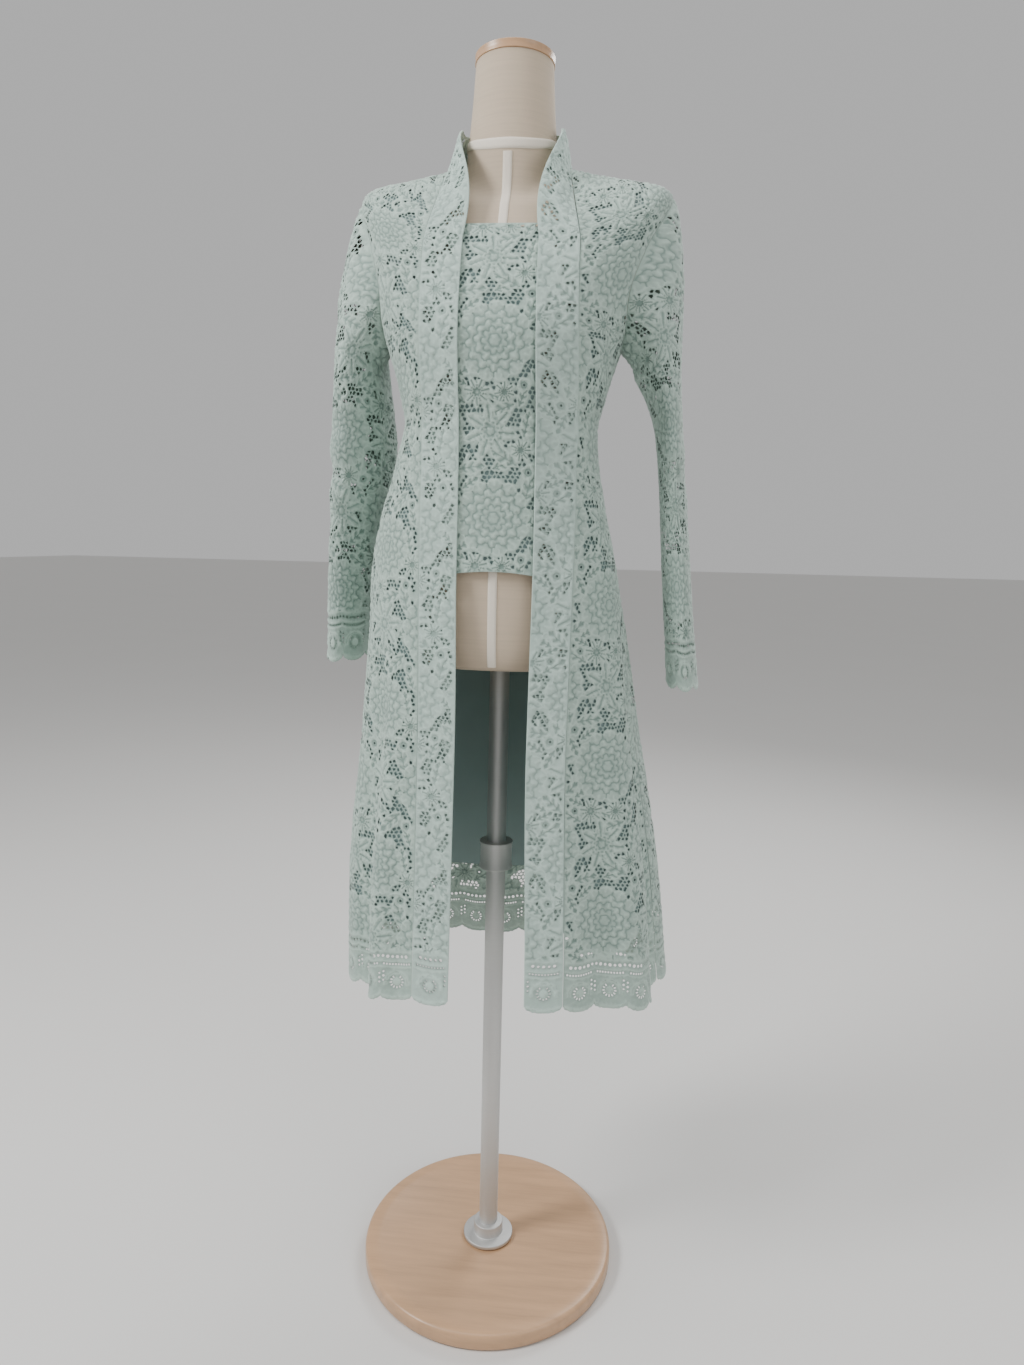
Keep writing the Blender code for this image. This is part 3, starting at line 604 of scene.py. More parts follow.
def lily(radius):
    petals = 7
    lines = [(line, GROOVE) for line in spokes(radius * 0.20, radius * 0.84, petals, 0.0, 7, 0.06)]
    for side in (-1, 1):
        veins = spokes(radius * 0.50, radius * 0.74, petals, side * 0.19, 4, side * -0.06)
        lines += [(line, CORD) for line in veins]
    lines += [(line, GROOVE) for line in spokes(radius * 0.30, radius * 0.56, petals, pi / petals)]
    lines.append((closed(petal_ring(radius * 0.36, 0.25, petals, 4, pi / petals)), CORD))
    lines.append((closed(petal_ring(radius * 0.16, 0.1, 5, 2)), GROOVE))
    return petal_ring(radius, 0.46, petals, 10, 0.0, True), lines, []


def leaf(length):
    half = 0.21 * length
    share = np.linspace(0.0, 1.0, 11)
    edge = half * np.sin(pi * share) ** 0.8
    upper, lower = np.stack([length * share, edge], 1), np.stack([length * share, -edge], 1)
    middle = length * np.linspace(0.06, 0.92, 9)
    lines = [(np.stack([middle, 0.0 * middle], 1), GROOVE)]
    for side in (-1, 1):
        for index, start in enumerate((0.16, 0.30, 0.44, 0.58, 0.72)):
            end = start + 0.13
            tip = side * half * sin(pi * end) ** 0.8 * 0.74
            between = (length * (start + end + 0.02) / 2.0, tip * 0.55)
            vein = np.array([(length * (start + 0.03), side * 0.0009), between, (length * end, tip)])
            lines.append((vein, CORD if index % 2 else GROOVE))
    return np.vstack([upper, lower[-2:0:-1]]), lines, []


def small_flower(radius):
    ring = closed(petal_ring(radius * 0.5, 0.15, 5, 2, pi / 5))
    return petal_ring(radius, 0.3, 5, 6), [(ring, GROOVE)], [petal_ring(radius * 0.22, 0.0, 6, 1)]


def scroll(radius):
    share = np.linspace(0.0, 1.0, 17)
    reach = radius * (1.0 - 0.62 * share)
    middle = np.stack([reach * np.cos(5.2 * share) - radius, reach * np.sin(5.2 * share)], 1)
    way = np.gradient(middle, axis=0)
    way /= np.linalg.norm(way, axis=1)[:, None]
    across = np.stack([-way[:, 1], way[:, 0]], 1) * (0.0011 * (0.75 + 0.6 * share**4))[:, None]
    return np.vstack([middle + across, (middle - across)[::-1]]), [(middle[1:-1], CORD)], []


# The repeat, the uppermost first: what it is, its size, its place in the repeat and its angle.
MOTIFS = (
    (dahlia, 0.0430, 0.043, 0.052, 0.10),
    (dahlia, 0.0390, 0.118, 0.147, 0.35),
    (lily, 0.0330, 0.120, 0.056, 0.30),
    (lily, 0.0320, 0.038, 0.147, 0.75),
    (small_flower, 0.0080, 0.082, 0.103, 0.3),
    (small_flower, 0.0074, 0.076, 0.006, 0.9),
    (small_flower, 0.0076, 0.148, 0.097, 0.1),
    (small_flower, 0.0070, 0.001, 0.190, 0.5),
    (leaf, 0.0380, 0.078, 0.068, 1.30),
    (leaf, 0.0360, 0.092, 0.094, -0.35),
    (leaf, 0.0360, 0.084, 0.022, -0.75),
    (leaf, 0.0340, 0.100, 0.022, 0.20),
    (leaf, 0.0360, 0.070, 0.110, 2.65),
    (leaf, 0.0340, 0.066, 0.176, -2.75),
    (leaf, 0.0340, 0.000, 0.106, 0.10),
    (leaf, 0.0340, 0.142, 0.105, 1.75),
    (leaf, 0.0320, 0.010, 0.176, 2.6),
    (leaf, 0.0320, 0.132, 0.014, 0.75),
    (leaf, 0.0300, 0.076, 0.140, 1.35),
    (scroll, 0.0110, 0.096, 0.108, 0.6),
    (scroll, 0.0100, 0.012, 0.122, 2.6),
    (scroll, 0.0100, 0.106, 0.002, 4.0),
    (lily, 0.0170, 0.023, 0.188, 0.2),
    (lily, 0.0150, 0.128, 0.100, 0.4),
    (lily, 0.0135, 0.073, 0.127, 0.9),
    (lily, 0.0130, 0.054, 0.188, 0.6),
    (leaf, 0.0240, 0.036, 0.186, -0.35),
    (leaf, 0.0260, 0.142, 0.088, -1.10),
    (leaf, 0.0240, 0.070, 0.172, 1.20),
    (leaf, 0.0280, 0.040, 0.106, 0.35),
    (leaf, 0.0240, 0.006, 0.084, 0.60),
    (leaf, 0.0220, 0.000, 0.016, 0.50),
    (leaf, 0.0220, 0.093, 0.042, 2.40),
    (leaf, 0.0220, 0.012, 0.006, 2.70),
)


def inside(points, polygon):
    x, y = points[:, 0:1], points[:, 1:2]
    a, b = polygon, np.roll(polygon, -1, 0)
    crosses = (a[:, 1] > y) != (b[:, 1] > y)
    rise = np.where(b[:, 1] == a[:, 1], 1.0, b[:, 1] - a[:, 1])
    return (crosses & (x < a[:, 0] + (y - a[:, 1]) * (b[:, 0] - a[:, 0]) / rise)).sum(1) % 2 == 1


def tree_of(points):
    tree = KDTree(len(points))
    for index, (x, y) in enumerate(points):
        tree.insert((x, y, 0.0), index)
    tree.balance()
    return tree


def placed_motifs():
    shapes = []
    for make, size, x, y, angle in MOTIFS:
        outline, lines, eyelets = make(size)
        for column in (-1, 0, 1):
            for row in (-1, 0, 1):
                at = (x + column * REPEAT_WIDE, y + row * REPEAT_TALL)
                ring = turned(outline, angle, at)
                beyond = ring.min(0) > (REPEAT_WIDE + 0.01, REPEAT_TALL + 0.01)
                if (ring.max(0) < -0.01).any() or beyond.any():
                    continue
                drawn = [(turned(line, angle, at), kind) for line, kind in lines]
                shapes.append((ring, drawn, [turned(eyelet, angle, at) for eyelet in eyelets]))
    return shapes


def shown_runs(line, above):
    """The stretches of a line that no earlier motif covers."""
    shown = np.ones(len(line), bool)
    for ring in above:
        if (line.max(0) > ring.min(0)).all() and (line.min(0) < ring.max(0)).all():
            shown &= ~inside(line, ring)
    breaks = np.flatnonzero(np.diff(shown.astype(int))) + 1
    runs = zip(np.split(line, breaks), np.split(shown, breaks))
    return [run for run, keep in runs if keep[0] and len(run) > 1]


def net_holes(shapes, open_share, rng):
    """The net's openings: an uneven honeycomb, drawn in from the motifs' edges."""
    near = []
    for ring, _, _ in shapes:
        for share in (0, 0.33, 0.67):
            near.append(closed(ring)[:-1] * (1 - share) + closed(ring)[1:] * share)
    edge = tree_of(np.vstack(near))
    pitch, rise = REPEAT_WIDE / NET_COLUMNS, REPEAT_TALL / NET_ROWS
    knots, holes = {}, []
    for row in range(NET_ROWS):
        for column in range(NET_COLUMNS):
            middle = np.array([(column + 0.5 * (row % 2)) * pitch, (row + 0.5) * rise])
            corners = []
            for angle in np.arange(6) * pi / 3 + pi / 6:
                tall = rise * (1 / 3 if abs(sin(angle)) < 0.9 else 2 / 3)
                place = middle + (cos(angle) * pitch / 3**0.5, np.sign(sin(angle)) * tall)
                across, up = round(place[0] / pitch * 2), round(place[1] / rise * 6)
                key = (across % (2 * NET_COLUMNS), up % (6 * NET_ROWS))
                if key not in knots:
                    knots[key] = rng.uniform(-1.0, 1.0, 2) * SHAKEN
                corners.append(place + knots[key])
            corners = np.array(corners)
            centre = corners.mean(0)
            share = open_share * rng.uniform(0.72, 1.10)
            if rng.random() < NET_MISSING:
                continue
            corners = centre + (corners - centre) * share
            test = np.vstack([centre[None], corners])
            covered = np.zeros(7, bool)
            for ring, _, _ in shapes:
                if (centre > ring.min(0) - 0.004).all() and (centre < ring.max(0) + 0.004).all():
                    covered |= inside(test, ring)
            room = edge.find((*centre, 0.0))[2]
            if covered[0] or room < NET_ROOM:
                continue
            for index, corner in enumerate(corners):
                if covered[index + 1] or edge.find((*corner, 0.0))[2] < NET_CORNER_ROOM:
                    share = (room - NET_CORNER_ROOM) / np.linalg.norm(corner - centre)
                    corners[index] = centre + (corner - centre) * max(0.35, min(1.0, share))
            holes.append(corners)
    return holes


class Drawing:
    """Openings, lines as (start, end, kind) and filling points of a stretch of lace."""

    def __init__(self, holes, cords, fill):
        self.holes, self.cords, self.fill = holes, cords, fill


def own(points):
    """Whether points lie in the repeat itself, and not in a neighbour."""
    return (points >= 0.0).all(-1) & (points < (REPEAT_WIDE, REPEAT_TALL)).all(-1)


def draw_repeat(open_share):
    """The drawing of one repeat of the lace."""
    rng = np.random.default_rng(7)
    shapes = placed_motifs()
    lines, holes = [], []
    for index, (ring, drawn, eyelets) in enumerate(shapes):
        above = [shape[0] for shape in shapes[:index]]
        lines += [(run, OUTLINE) for run in shown_runs(closed(ring), above)]
        for line, kind in drawn:
            lines += [(run, kind) for run in shown_runs(line, above)]
        holes += [hole for hole in eyelets if not any(inside(hole, over).any() for over in above)]
    holes += net_holes(shapes, open_share, rng)
    fill = filling(REPEAT_WIDE, REPEAT_TALL, [line for line, _ in lines] + holes, holes, rng)
    cords = []
    for line, kind in lines:
        middles = (line[:-1] + line[1:]) / 2.0
        cords += [(a, b, kind) for a, b, keep in zip(line[:-1], line[1:], own(middles)) if keep]
    return Drawing([hole for hole in holes if own(hole.mean(0))], cords, fill)


def filling(wide, tall, lines, holes, rng):
    """Points between the cords, on a shaken grid, clear of the cords and the openings."""
    tree = tree_of(np.vstack(lines))
    columns, rows = max(int(wide / FILL_STEP), 1), max(int(tall / FILL_STEP), 1)
    points = []
    for column in range(columns):
        for row in range(rows):
            x, y = (column + 0.5) * wide / columns, (row + 0.5 * (column % 2)) * tall / rows
            point = np.array([x, y]) + rng.uniform(-1.0, 1.0, 2) * 0.0006
            if tree.find((*point, 0.0))[2] > 0.00115:
                points.append(point)
    points = np.array(points)
    keep = np.ones(len(points), bool)
    for hole in holes:
        near = np.flatnonzero((np.abs(points - hole.mean(0)) < 0.004).all(1))
        keep[near[inside(points[near], hole)]] = False
    return points[keep]


def scallop_edge(u, pitch):
    """How far the scalloped edge is above or below the hem line."""
    wave = np.abs(np.sin(pi * u / pitch))
    return 0.0035 - 0.0080 * wave**0.55 + 0.0006 * np.cos(2.0 * pi * u / pitch * 7.0)


def draw_scallop(pitch, mirrored):
    """One scallop of the border: an eyelet ring, a ladder of square eyelets, and cords."""
    half = pitch / 2.0
    holes, cords = [], []
    ring = np.array([half, 0.0195])
    side = -1.0 if mirrored else 1.0
    for index in range(11):
        angle = pi / 2 - side * (0.62 + index * 0.505)
        out, along = np.array([cos(angle), sin(angle)]), np.array([-sin(angle), cos(angle)])
        corners = [ring + out * (0.0074 + 0.0015 * a) + along * 0.00085 * b for a, b in SQUARE_CORNERS]
        holes.append(np.array(corners))
    cords.append(closed(ring + petal_ring(0.0045, 0.1, 5, 3)))
    cords.append(closed(ring + petal_ring(0.0020, 0.0, 6, 1)))
    arc = np.linspace(-0.2, pi + 0.2, 15)
    for reach in (0.0112, 0.0142):
        cords.append(ring + reach * np.stack([np.cos(arc) * 1.12, np.sin(arc)], 1))
    u = np.linspace(0.0, pitch, 17)
    for above in (0.0022, 0.0046):
        cords.append(np.stack([u, scallop_edge(u, pitch) + above], 1))
    for height in (0.0396, 0.0470, 0.0590):
        cords.append(np.stack([u, height + ladder_dip(u, pitch)], 1))
    for index in range(10):
        x = half + (index - 4.5) * 0.0036
        y = 0.0433 + float(ladder_dip(np.array(x), pitch))
        holes.append(np.array([(x + 0.0011 * a, y + 0.0012 * b) for a, b in SQUARE_CORNERS]))
    for index in range(7):
        x = (index + 0.5) * pitch / 7.0
        y = 0.0530 + float(ladder_dip(np.array(x), pitch))
        holes.append(np.array([x, y]) + petal_ring(0.0019 + 0.0004 * (index % 2), 0.0, 6, 1))
    for x, y, size in ((0.0012, 0.0260, 0.0017), (0.0012, 0.0315, 0.0014), (0.0012, 0.0205, 0.0014)):
        holes.append(np.array([x, y]) + petal_ring(size, 0.0, 6, 1))
        holes.append(np.array([pitch - x - 0.0026, y + 0.0022]) + petal_ring(size, 0.0, 6, 1))
    return holes, cords


def ladder_dip(u, pitch):
    """How far the ladder of eyelets is above its line: it sags in the middle of a scallop."""
    return 0.0030 * (2.0 * u / pitch - 1.0) ** 2 - 0.0015


def draw_border(wide, start, pitch):
    """The border along a hem that starts at u = start."""
    rng = np.random.default_rng(11)
    holes, cords = [], []
    for index in range(round(wide / pitch)):
        more_holes, more_cords = draw_scallop(pitch, index % 2 == 1)
        holes += [hole + (index * pitch, 0.0) for hole in more_holes]
        cords += [cord + (index * pitch, 0.0) for cord in more_cords]
    fill = filling(wide, BORDER, cords + holes, holes, rng)
    pairs = []
    for cord in cords:
        moved = cord + (start, 0.0)
        pairs += [(a, b, CORD) for a, b in zip(moved[:-1], moved[1:])]
    return Drawing([hole + (start, 0.0) for hole in holes], pairs, fill + (start, 0.0))


# ---------------------------------------------------------------- from drawing to mesh


class Shell:
    """The points, faces, cut coordinates and painted lightness that a cloth mesh is made from: painted light
    on the cords, painted shade between them.
    """

    def __init__(self):
        self.points, self.faces, self.cut, self.painted_lightness = [], [], [], []

    def add(self, points, faces, cut, painted_lightness):
        base = len(self.points)
        self.points += [tuple(point) for point in points]
        self.faces += [tuple(base + corner for corner in face) for face in faces]
        self.cut += [tuple(place) for place in cut]
        self.painted_lightness += list(painted_lightness)

    def add_grid(self, grid, cut, painted_lightness, outward):
        rows, columns = grid.shape[:2]
        faces = []
        for row in range(rows - 1):
            for column in range(columns - 1):
                a = row * columns + column
                faces.append((a, a + 1, a + columns + 1, a + columns))
        flat = grid.reshape(-1, 3)
        if faces_point_in(flat, faces, outward.reshape(-1, 3)):
            faces = [face[::-1] for face in faces]
        self.add(flat, faces, cut.reshape(-1, 2), [painted_lightness] * len(flat))

    def build(self, name):
        mesh = bpy.data.meshes.new(name)
        mesh.from_pydata(self.points, [], self.faces)
        layer = mesh.uv_layers.new(name="cut")
        corners = np.empty(len(mesh.loops), np.int32)
        mesh.loops.foreach_get("vertex_index", corners)
        layer.data.foreach_set("uv", np.array(self.cut, np.float32)[corners].ravel())
        # The painted lightness of each point: 1 gives the painted light of the cords, 0 the painted shade of
        # the valleys.
        painted_lightness = mesh.attributes.new("painted_lightness", "FLOAT", "POINT")
        painted_lightness.data.foreach_set("value", np.array(self.painted_lightness, np.float32))
        mesh.shade_smooth()
        obj = bpy.data.objects.new(name, mesh)
        bpy.context.scene.collection.objects.link(obj)
        return obj


def faces_point_in(points, faces, outward):
    corners = np.array([face[:3] for face in faces[:: max(len(faces) // 400, 1)]])
    a, b, c = (points[corners[:, index]] for index in range(3))
    return (np.cross(b - a, c - a) * outward[corners[:, 0]]).sum() < 0.0


class Lace:
    """Lays the lace's drawing on a cut and makes the cloth's mesh from it."""

    def __init__(self, settings):
        self.settings = settings
        self.repeat = draw_repeat(settings.opening_share)

    def lay(self, shell, cut, offset, bordered=True, pitch=SCALLOP, lift=0.0, arch=0.0):
        """Add the cloth of a cut to the shell, and give back the cut's outline."""
        wide = cut.end(0.0) - cut.start(0.0)
        if bordered:
            pitch = wide / max(round(wide / pitch), 1)
        start = float(cut.start(0.0))

        def bottom(u):
            if bordered:
                return scallop_edge(u - start, pitch)
            return arch * (1.0 - (2.0 * (u - start) / wide - 1.0) ** 2)

        outline = self.outline(cut, bottom)
        verts, kinds = [tuple(point) for point in outline], [CUT_EDGE] * len(outline)
        faces, edges = [list(range(len(outline)))], []
        low = BORDER + 0.001 if bordered else -1.0

        def within(points, margin):
            u, v = points[:, 0], points[:, 1]
            ok = (u > cut.start(v) + margin) & (u < cut.end(v) - margin)
            return ok & (v > bottom(u) + margin) & (v < cut.top(u) - margin)

        def take(drawing, shift, floor, ceiling):
            for hole in drawing.holes:
                moved = hole + shift
                low_enough, high_enough = moved[:, 1].max() < ceiling, moved[:, 1].min() > floor
                if low_enough and high_enough and within(moved, HOLE_MARGIN).all():
                    faces.append(list(range(len(verts), len(verts) + len(moved))))
                    verts.extend(tuple(p) for p in moved)
                    kinds.extend([OPENING] * len(moved))
            if drawing.cords:
                ends = np.array([(a, b) for a, b, _ in drawing.cords]) + shift
                flat = ends.reshape(-1, 2)
                keep = within(flat, CORD_MARGIN) & (flat[:, 1] > floor) & (flat[:, 1] < ceiling)
                known = {}
                for index in np.flatnonzero(keep.reshape(-1, 2).all(1)):
                    pair = []
                    for point in ends[index]:
                        key = (round(point[0], 6), round(point[1], 6))
                        if key not in known:
                            known[key] = len(verts)
                            verts.append(tuple(point))
                            kinds.append(drawing.cords[index][2])
                        pair.append(known[key])
                    edges.append(tuple(pair))
            if len(drawing.fill):
                points = drawing.fill + shift
                keep = within(points, FILL_MARGIN) & (points[:, 1] > floor) & (points[:, 1] < ceiling)
                verts.extend(tuple(p) for p in points[keep])
                kinds.extend([GROUND] * int(keep.sum()))

        if bordered:
            take(draw_border(wide, start, pitch), np.zeros(2), -1.0, BORDER + 0.0006)
        lowest, highest = outline.min(0), outline.max(0)
        first = np.floor((lowest - offset) / (REPEAT_WIDE, REPEAT_TALL)).astype(int)
        last = np.ceil((highest - offset) / (REPEAT_WIDE, REPEAT_TALL)).astype(int)
        for column in range(first[0], last[0]):
            for row in range(first[1], last[1]):
                shift = np.array([column * REPEAT_WIDE, row * REPEAT_TALL]) + offset
                take(self.repeat, shift, low, 9.0)
        self.fill_mesh(shell, cut, verts, edges, faces, kinds, lift)
        return outline

    def outline(self, cut, bottom):
        side_v = np.arange(0.0065, cut.levels[-1], 0.004)
        right_top, left_top = cut.top(cut.end(side_v)), cut.top(cut.start(side_v))
        right = [(float(cut.end(v)), v) for v in side_v[side_v < right_top - 0.002]]
        left = [(float(cut.start(v)), v) for v in side_v[side_v < left_top - 0.002]]
        top_v = cut.levels[-1]
        top = np.arange(float(cut.start(top_v)) + 0.0005, float(cut.end(top_v)), 0.004)
        crown = [(u, float(cut.top(u))) for u in top[::-1]]
        first, last = float(cut.start(0.0)), float(cut.end(0.0))
        base = np.linspace(first, last, int((last - first) / 0.0022))
        foot = [(u, float(bottom(u))) for u in base]
        return np.array(foot + right + crown + left[::-1])

    def fill_mesh(self, shell, cut, verts, edges, faces, kinds, lift):
        found = delaunay_2d_cdt([Vector(v) for v in verts], edges, faces, 0, 1e-6)
        places = np.array([tuple(v) for v in found[0]])
        kinds = np.array([kinds[origin[0]] if origin else CORD for origin in found[3]])
        triangles = [face for face, origin in zip(found[2], found[5]) if origin == [0]]
        used = np.unique(np.array(triangles))
        renamed = np.full(len(places), -1)
        renamed[used] = np.arange(len(used))
        triangles = renamed[np.array(triangles)]
        places, kinds = places[used], kinds[used]
        rng = np.random.default_rng(len(places))
        high, edge = self.settings.cord_height, self.settings.outline_height
        # Each kind of point: its height, and its painted lightness, with painted light on the cords and motif
        # edges and painted shade in the grooves, round the openings and on the ground between.
        looks = {
            CUT_EDGE: (0.0, 0.7), OPENING: (0.0, 0.35), CORD: (high, 1.0),
            OUTLINE: (edge, 0.95), GROOVE: (-0.0005, 0.0), GROUND: (0.0002, 0.62),
        }
        heights, painted_lightness = np.array([looks[kind] for kind in kinds.tolist()]).T
        ground = kinds == GROUND
        heights[ground] += rng.uniform(-0.0003, 0.0003, int(ground.sum()))
        painted_lightness[ground] += rng.uniform(-0.12, 0.12, int(ground.sum()))
        points = cut.at(places[:, 0], places[:, 1], heights + lift)
        outward = cut.at(places[:, 0], places[:, 1], heights + lift + 0.01) - points
        if faces_point_in(points, triangles, outward):
            triangles = triangles[:, ::-1]
        shell.add(points, triangles.tolist(), places, painted_lightness)


def declare(obj, outline, node, slot, rests_on, layers=1, held="hung"):
    """Attach a cloth piece to the root and hide the part that it replaces."""
    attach(obj, "root")
    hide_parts(node)


# ---------------------------------------------------------------- materials


class Look:
    """A material with the Principled shader, and its nodes."""

    def __init__(self, name, inputs):
        self.material = bpy.data.materials.new(name)
        self.material.use_nodes = True
        self.nodes, self.links = self.material.node_tree.nodes, self.material.node_tree.links
        self.shader = self.nodes["Principled BSDF"]
        self.feed(self.shader, inputs)

    def feed(self, node, inputs):
        """Set a node's inputs, each to a value or to the output that feeds it."""
        for key, value in inputs.items():
            if isinstance(value, bpy.types.NodeSocket):
                self.links.new(value, node.inputs[key])
            else:
                node.inputs[key].default_value = value

    def add(self, kind, inputs, **properties):
        node = self.nodes.new("ShaderNode" + kind)
        for name, value in properties.items():
            setattr(node, name, value)
        self.feed(node, inputs)
        return node

    def cut_place(self):
        return self.add("UVMap", {}, uv_map="cut").outputs["UV"]

    def object_place(self):
        return self.add("TexCoord", {}).outputs["Object"]

    def stretched(self, vector, scale):
        return self.add("Mapping", {"Vector": vector, "Scale": scale}).outputs["Vector"]

    def noise(self, vector, scale, detail=3.0, rough=0.55):
        inputs = {"Vector": vector, "Scale": scale, "Detail": detail, "Roughness": rough}
        return self.add("TexNoise", inputs).outputs["Fac"]

    def wave(self, vector, scale, direction, distortion):
        inputs = {"Vector": vector, "Scale": scale, "Distortion": distortion}
        inputs.update({"Detail": 1.0, "Detail Scale": 1.5})
        return self.add("TexWave", inputs, bands_direction=direction).outputs["Fac"]

    def maths(self, operation, *values):
        return self.add("Math", dict(enumerate(values)), operation=operation).outputs[0]

    def mix(self, mask, first, second, share=None):
        """The first colour, and the second where the mask is full, or a share of it."""
        if share is not None:
            mask = self.maths("MULTIPLY", mask, share)
        return self.add("Mix", {0: mask, 6: first, 7: second}, data_type="RGBA").outputs[2]

    def finish(self, colour, height, strength, distance):
        """Give the shader its colour and its bump, and give back the material."""
        inputs = {"Height": height, "Strength": strength, "Distance": distance}
        self.feed(self.shader, {"Base Color": colour, "Normal": self.add("Bump", inputs).outputs["Normal"]})
        return self.material


def shaded(colour, share=1.0):
    return (*(min(channel * share, 1.0) for channel in colour), 1.0)


def lace_material(name, cord, valley_shade):
    """Matt corded yarn, with painted light that makes it lighter on the cords and painted shade that makes it
    darker and greyer between them.
    """
    sheen = {"Sheen Weight": 0.25, "Sheen Roughness": 0.45, "Specular IOR Level": 0.35}
    look = Look(name, {"Roughness": 0.82, **sheen})
    painted_lightness = look.add("Attribute", {}, attribute_name="painted_lightness").outputs["Fac"]
    cut = look.cut_place()
    patches = look.noise(cut, 22.0)
    yarn = look.noise(cut, 900.0, 2.0)
    # Painted shade in the valleys and painted light on the cords, after each point's painted lightness;
    # random patches and yarn tone on top, the yarn drawn toward the shade colour.
    colour = look.mix(painted_lightness, shaded(valley_shade), shaded(cord))
    colour = look.mix(patches, colour, shaded(cord, 0.86), 0.35)
    colour = look.mix(yarn, colour, shaded(valley_shade), 0.22)
    twist = look.wave(cut, 260.0, "DIAGONAL", 6.0)
    return look.finish(colour, look.maths("ADD", twist, yarn), 0.55, 0.0005)


def lining_material(colour):
    """Smooth satin with a fine twill grain."""
    look = Look("lining satin", {"Roughness": 0.42, "Sheen Weight": 0.15})
    cut = look.cut_place()
    grain = look.wave(cut, 500.0, "DIAGONAL", 0.4)
    # The satin's colour holds painted shade as well as its own teal; the clouds are random tone.
    clouded = look.mix(look.noise(cut, 14.0), shaded(colour, 0.8), shaded(colour))
    return look.finish(clouded, grain, 0.25, 0.0002)


def linen_material(colour):
    """Plain-woven natural linen: crossed threads with slubs."""
    look = Look("natural linen", {"Roughness": 0.88, "Sheen Weight": 0.2})
    place = look.object_place()
    weave = look.maths("ADD", look.wave(place, 330.0, "X", 1.2), look.wave(place, 300.0, "Z", 1.5))
    slubs = look.noise(look.stretched(place, (14.0, 14.0, 420.0)), 1.0)
    clouds = look.noise(place, 9.0)
    dark, pale = shaded(colour, 0.72), shaded(colour, 1.18)
    threads = look.mix(weave, dark, shaded(colour), 0.5)
    threads = look.mix(slubs, threads, pale, 0.6)
    threads = look.mix(clouds, threads, dark, 0.25)
    return look.finish(threads, look.maths("ADD", weave, slubs), 0.5, 0.0004)


def tape_material(colour):
    """Cotton twill tape with a herringbone grain."""
    look = Look("cotton tape", {"Roughness": 0.85})
    cut = look.cut_place()
    grain = look.wave(cut, 420.0, "DIAGONAL", 0.6)
    threads = look.mix(grain, shaded(colour), shaded(colour, 0.8), 0.6)
    threads = look.mix(look.noise(cut, 300.0), threads, shaded(colour))
    return look.finish(threads, grain, 0.4, 0.0003)


def wood_material(name, colour):
    """Turned pale wood: rings stretched along the grain, and fine pores."""
    look = Look(name, {"Roughness": 0.38, "Coat Weight": 0.25, "Coat Roughness": 0.25})
    place = look.stretched(look.object_place(), (4.0, 40.0, 40.0))
    figure = look.noise(place, 2.0, 6.0, 0.6)
    rings = look.wave(place, 1.6, "Y", 4.0)
    pores = look.noise(place, 30.0, 2.0)
    dark, pale = shaded(colour, 0.62), shaded(colour, 1.3)
    grain = look.mix(figure, dark, pale)
    grain = look.mix(rings, grain, shaded(colour), 0.35)
    grain = look.mix(pores, grain, dark, 0.2)
    return look.finish(grain, pores, 0.15, 0.0003)


def steel_material():
    """Brushed steel, with the brush marks round the pole."""
    colour = (0.62, 0.62, 0.61, 1.0)
    look = Look("brushed steel", {"Metallic": 1.0})
    marks = look.noise(look.stretched(look.object_place(), (20.0, 20.0, 900.0)), 1.0)
    look.feed(look.shader, {"Roughness": look.maths("MULTIPLY_ADD", marks, 0.2, 0.5)})
    return look.finish(colour, marks, 0.08, 0.0002)


def floor_material(colour):
    look = Look("pale floor", {"Roughness": 0.75})
    clouds = look.noise(look.object_place(), 1.5)
    look.feed(look.shader, {"Base Color": look.mix(clouds, shaded(colour, 0.97), shaded(colour))})
    return look.material


# ---------------------------------------------------------------- operators

CLOTH = {}


def lace():
    """The lace's drawing and materials, made once."""
    if "lace" not in CLOTH:
        settings = bpy.context.scene.kebaya_lace
        CLOTH["lace"] = Lace(settings)
        CLOTH["lace cloth"] = lace_material("corded lace", settings.lace_colour, settings.valley_shade_colour)
        # The bands' painted shade colour: mostly the valley shade, a quarter the band colour.
        band_valley_shade = tuple(0.75 * a + 0.25 * b for a, b in zip(settings.valley_shade_colour, settings.band_colour))
        CLOTH["band cloth"] = lace_material("double corded lace", settings.band_colour, band_valley_shade)
        CLOTH["lining cloth"] = lining_material(settings.lining_colour_in_shade)
    return CLOTH["lace"]


def lace_piece(node, shell, outline, rests_on, cloth="lace cloth", **cut):
    """The object of a lace piece."""
    obj = shell.build(node + "_lace")
    obj.data.materials.append(CLOTH[cloth])
    declare(obj, outline, node, "lace", rests_on, **cut)


def lining_piece(node, cut, sink):
    """A smooth satin panel behind the lace."""
    lace()
    shell = Shell()
    rows, columns = cut.points[1::2], slice(None, None, 3)
    grid = (rows - cut.normals[1::2] * sink)[:, columns]
    v = cut.levels[1::2][:, None] + 0.0 * grid[:, :, 0]
    share = np.linspace(0.0, 1.0, grid.shape[1])[None]
    u = cut.starts[1::2][:, None] + (cut.ends - cut.starts)[1::2][:, None] * share
    shell.add_grid(grid, np.stack([u, v], 2), 0.5, cut.normals[1::2][:, columns])
    obj = shell.build(node + "_satin")
    obj.data.materials.append(CLOTH["lining cloth"])
    outline = np.concatenate([np.stack([u[:, -1], v[:, -1]], 1), np.stack([u[::-1, 0], v[::-1, 0]], 1)])
    declare(obj, outline, node, "lining", ["form_linen"])


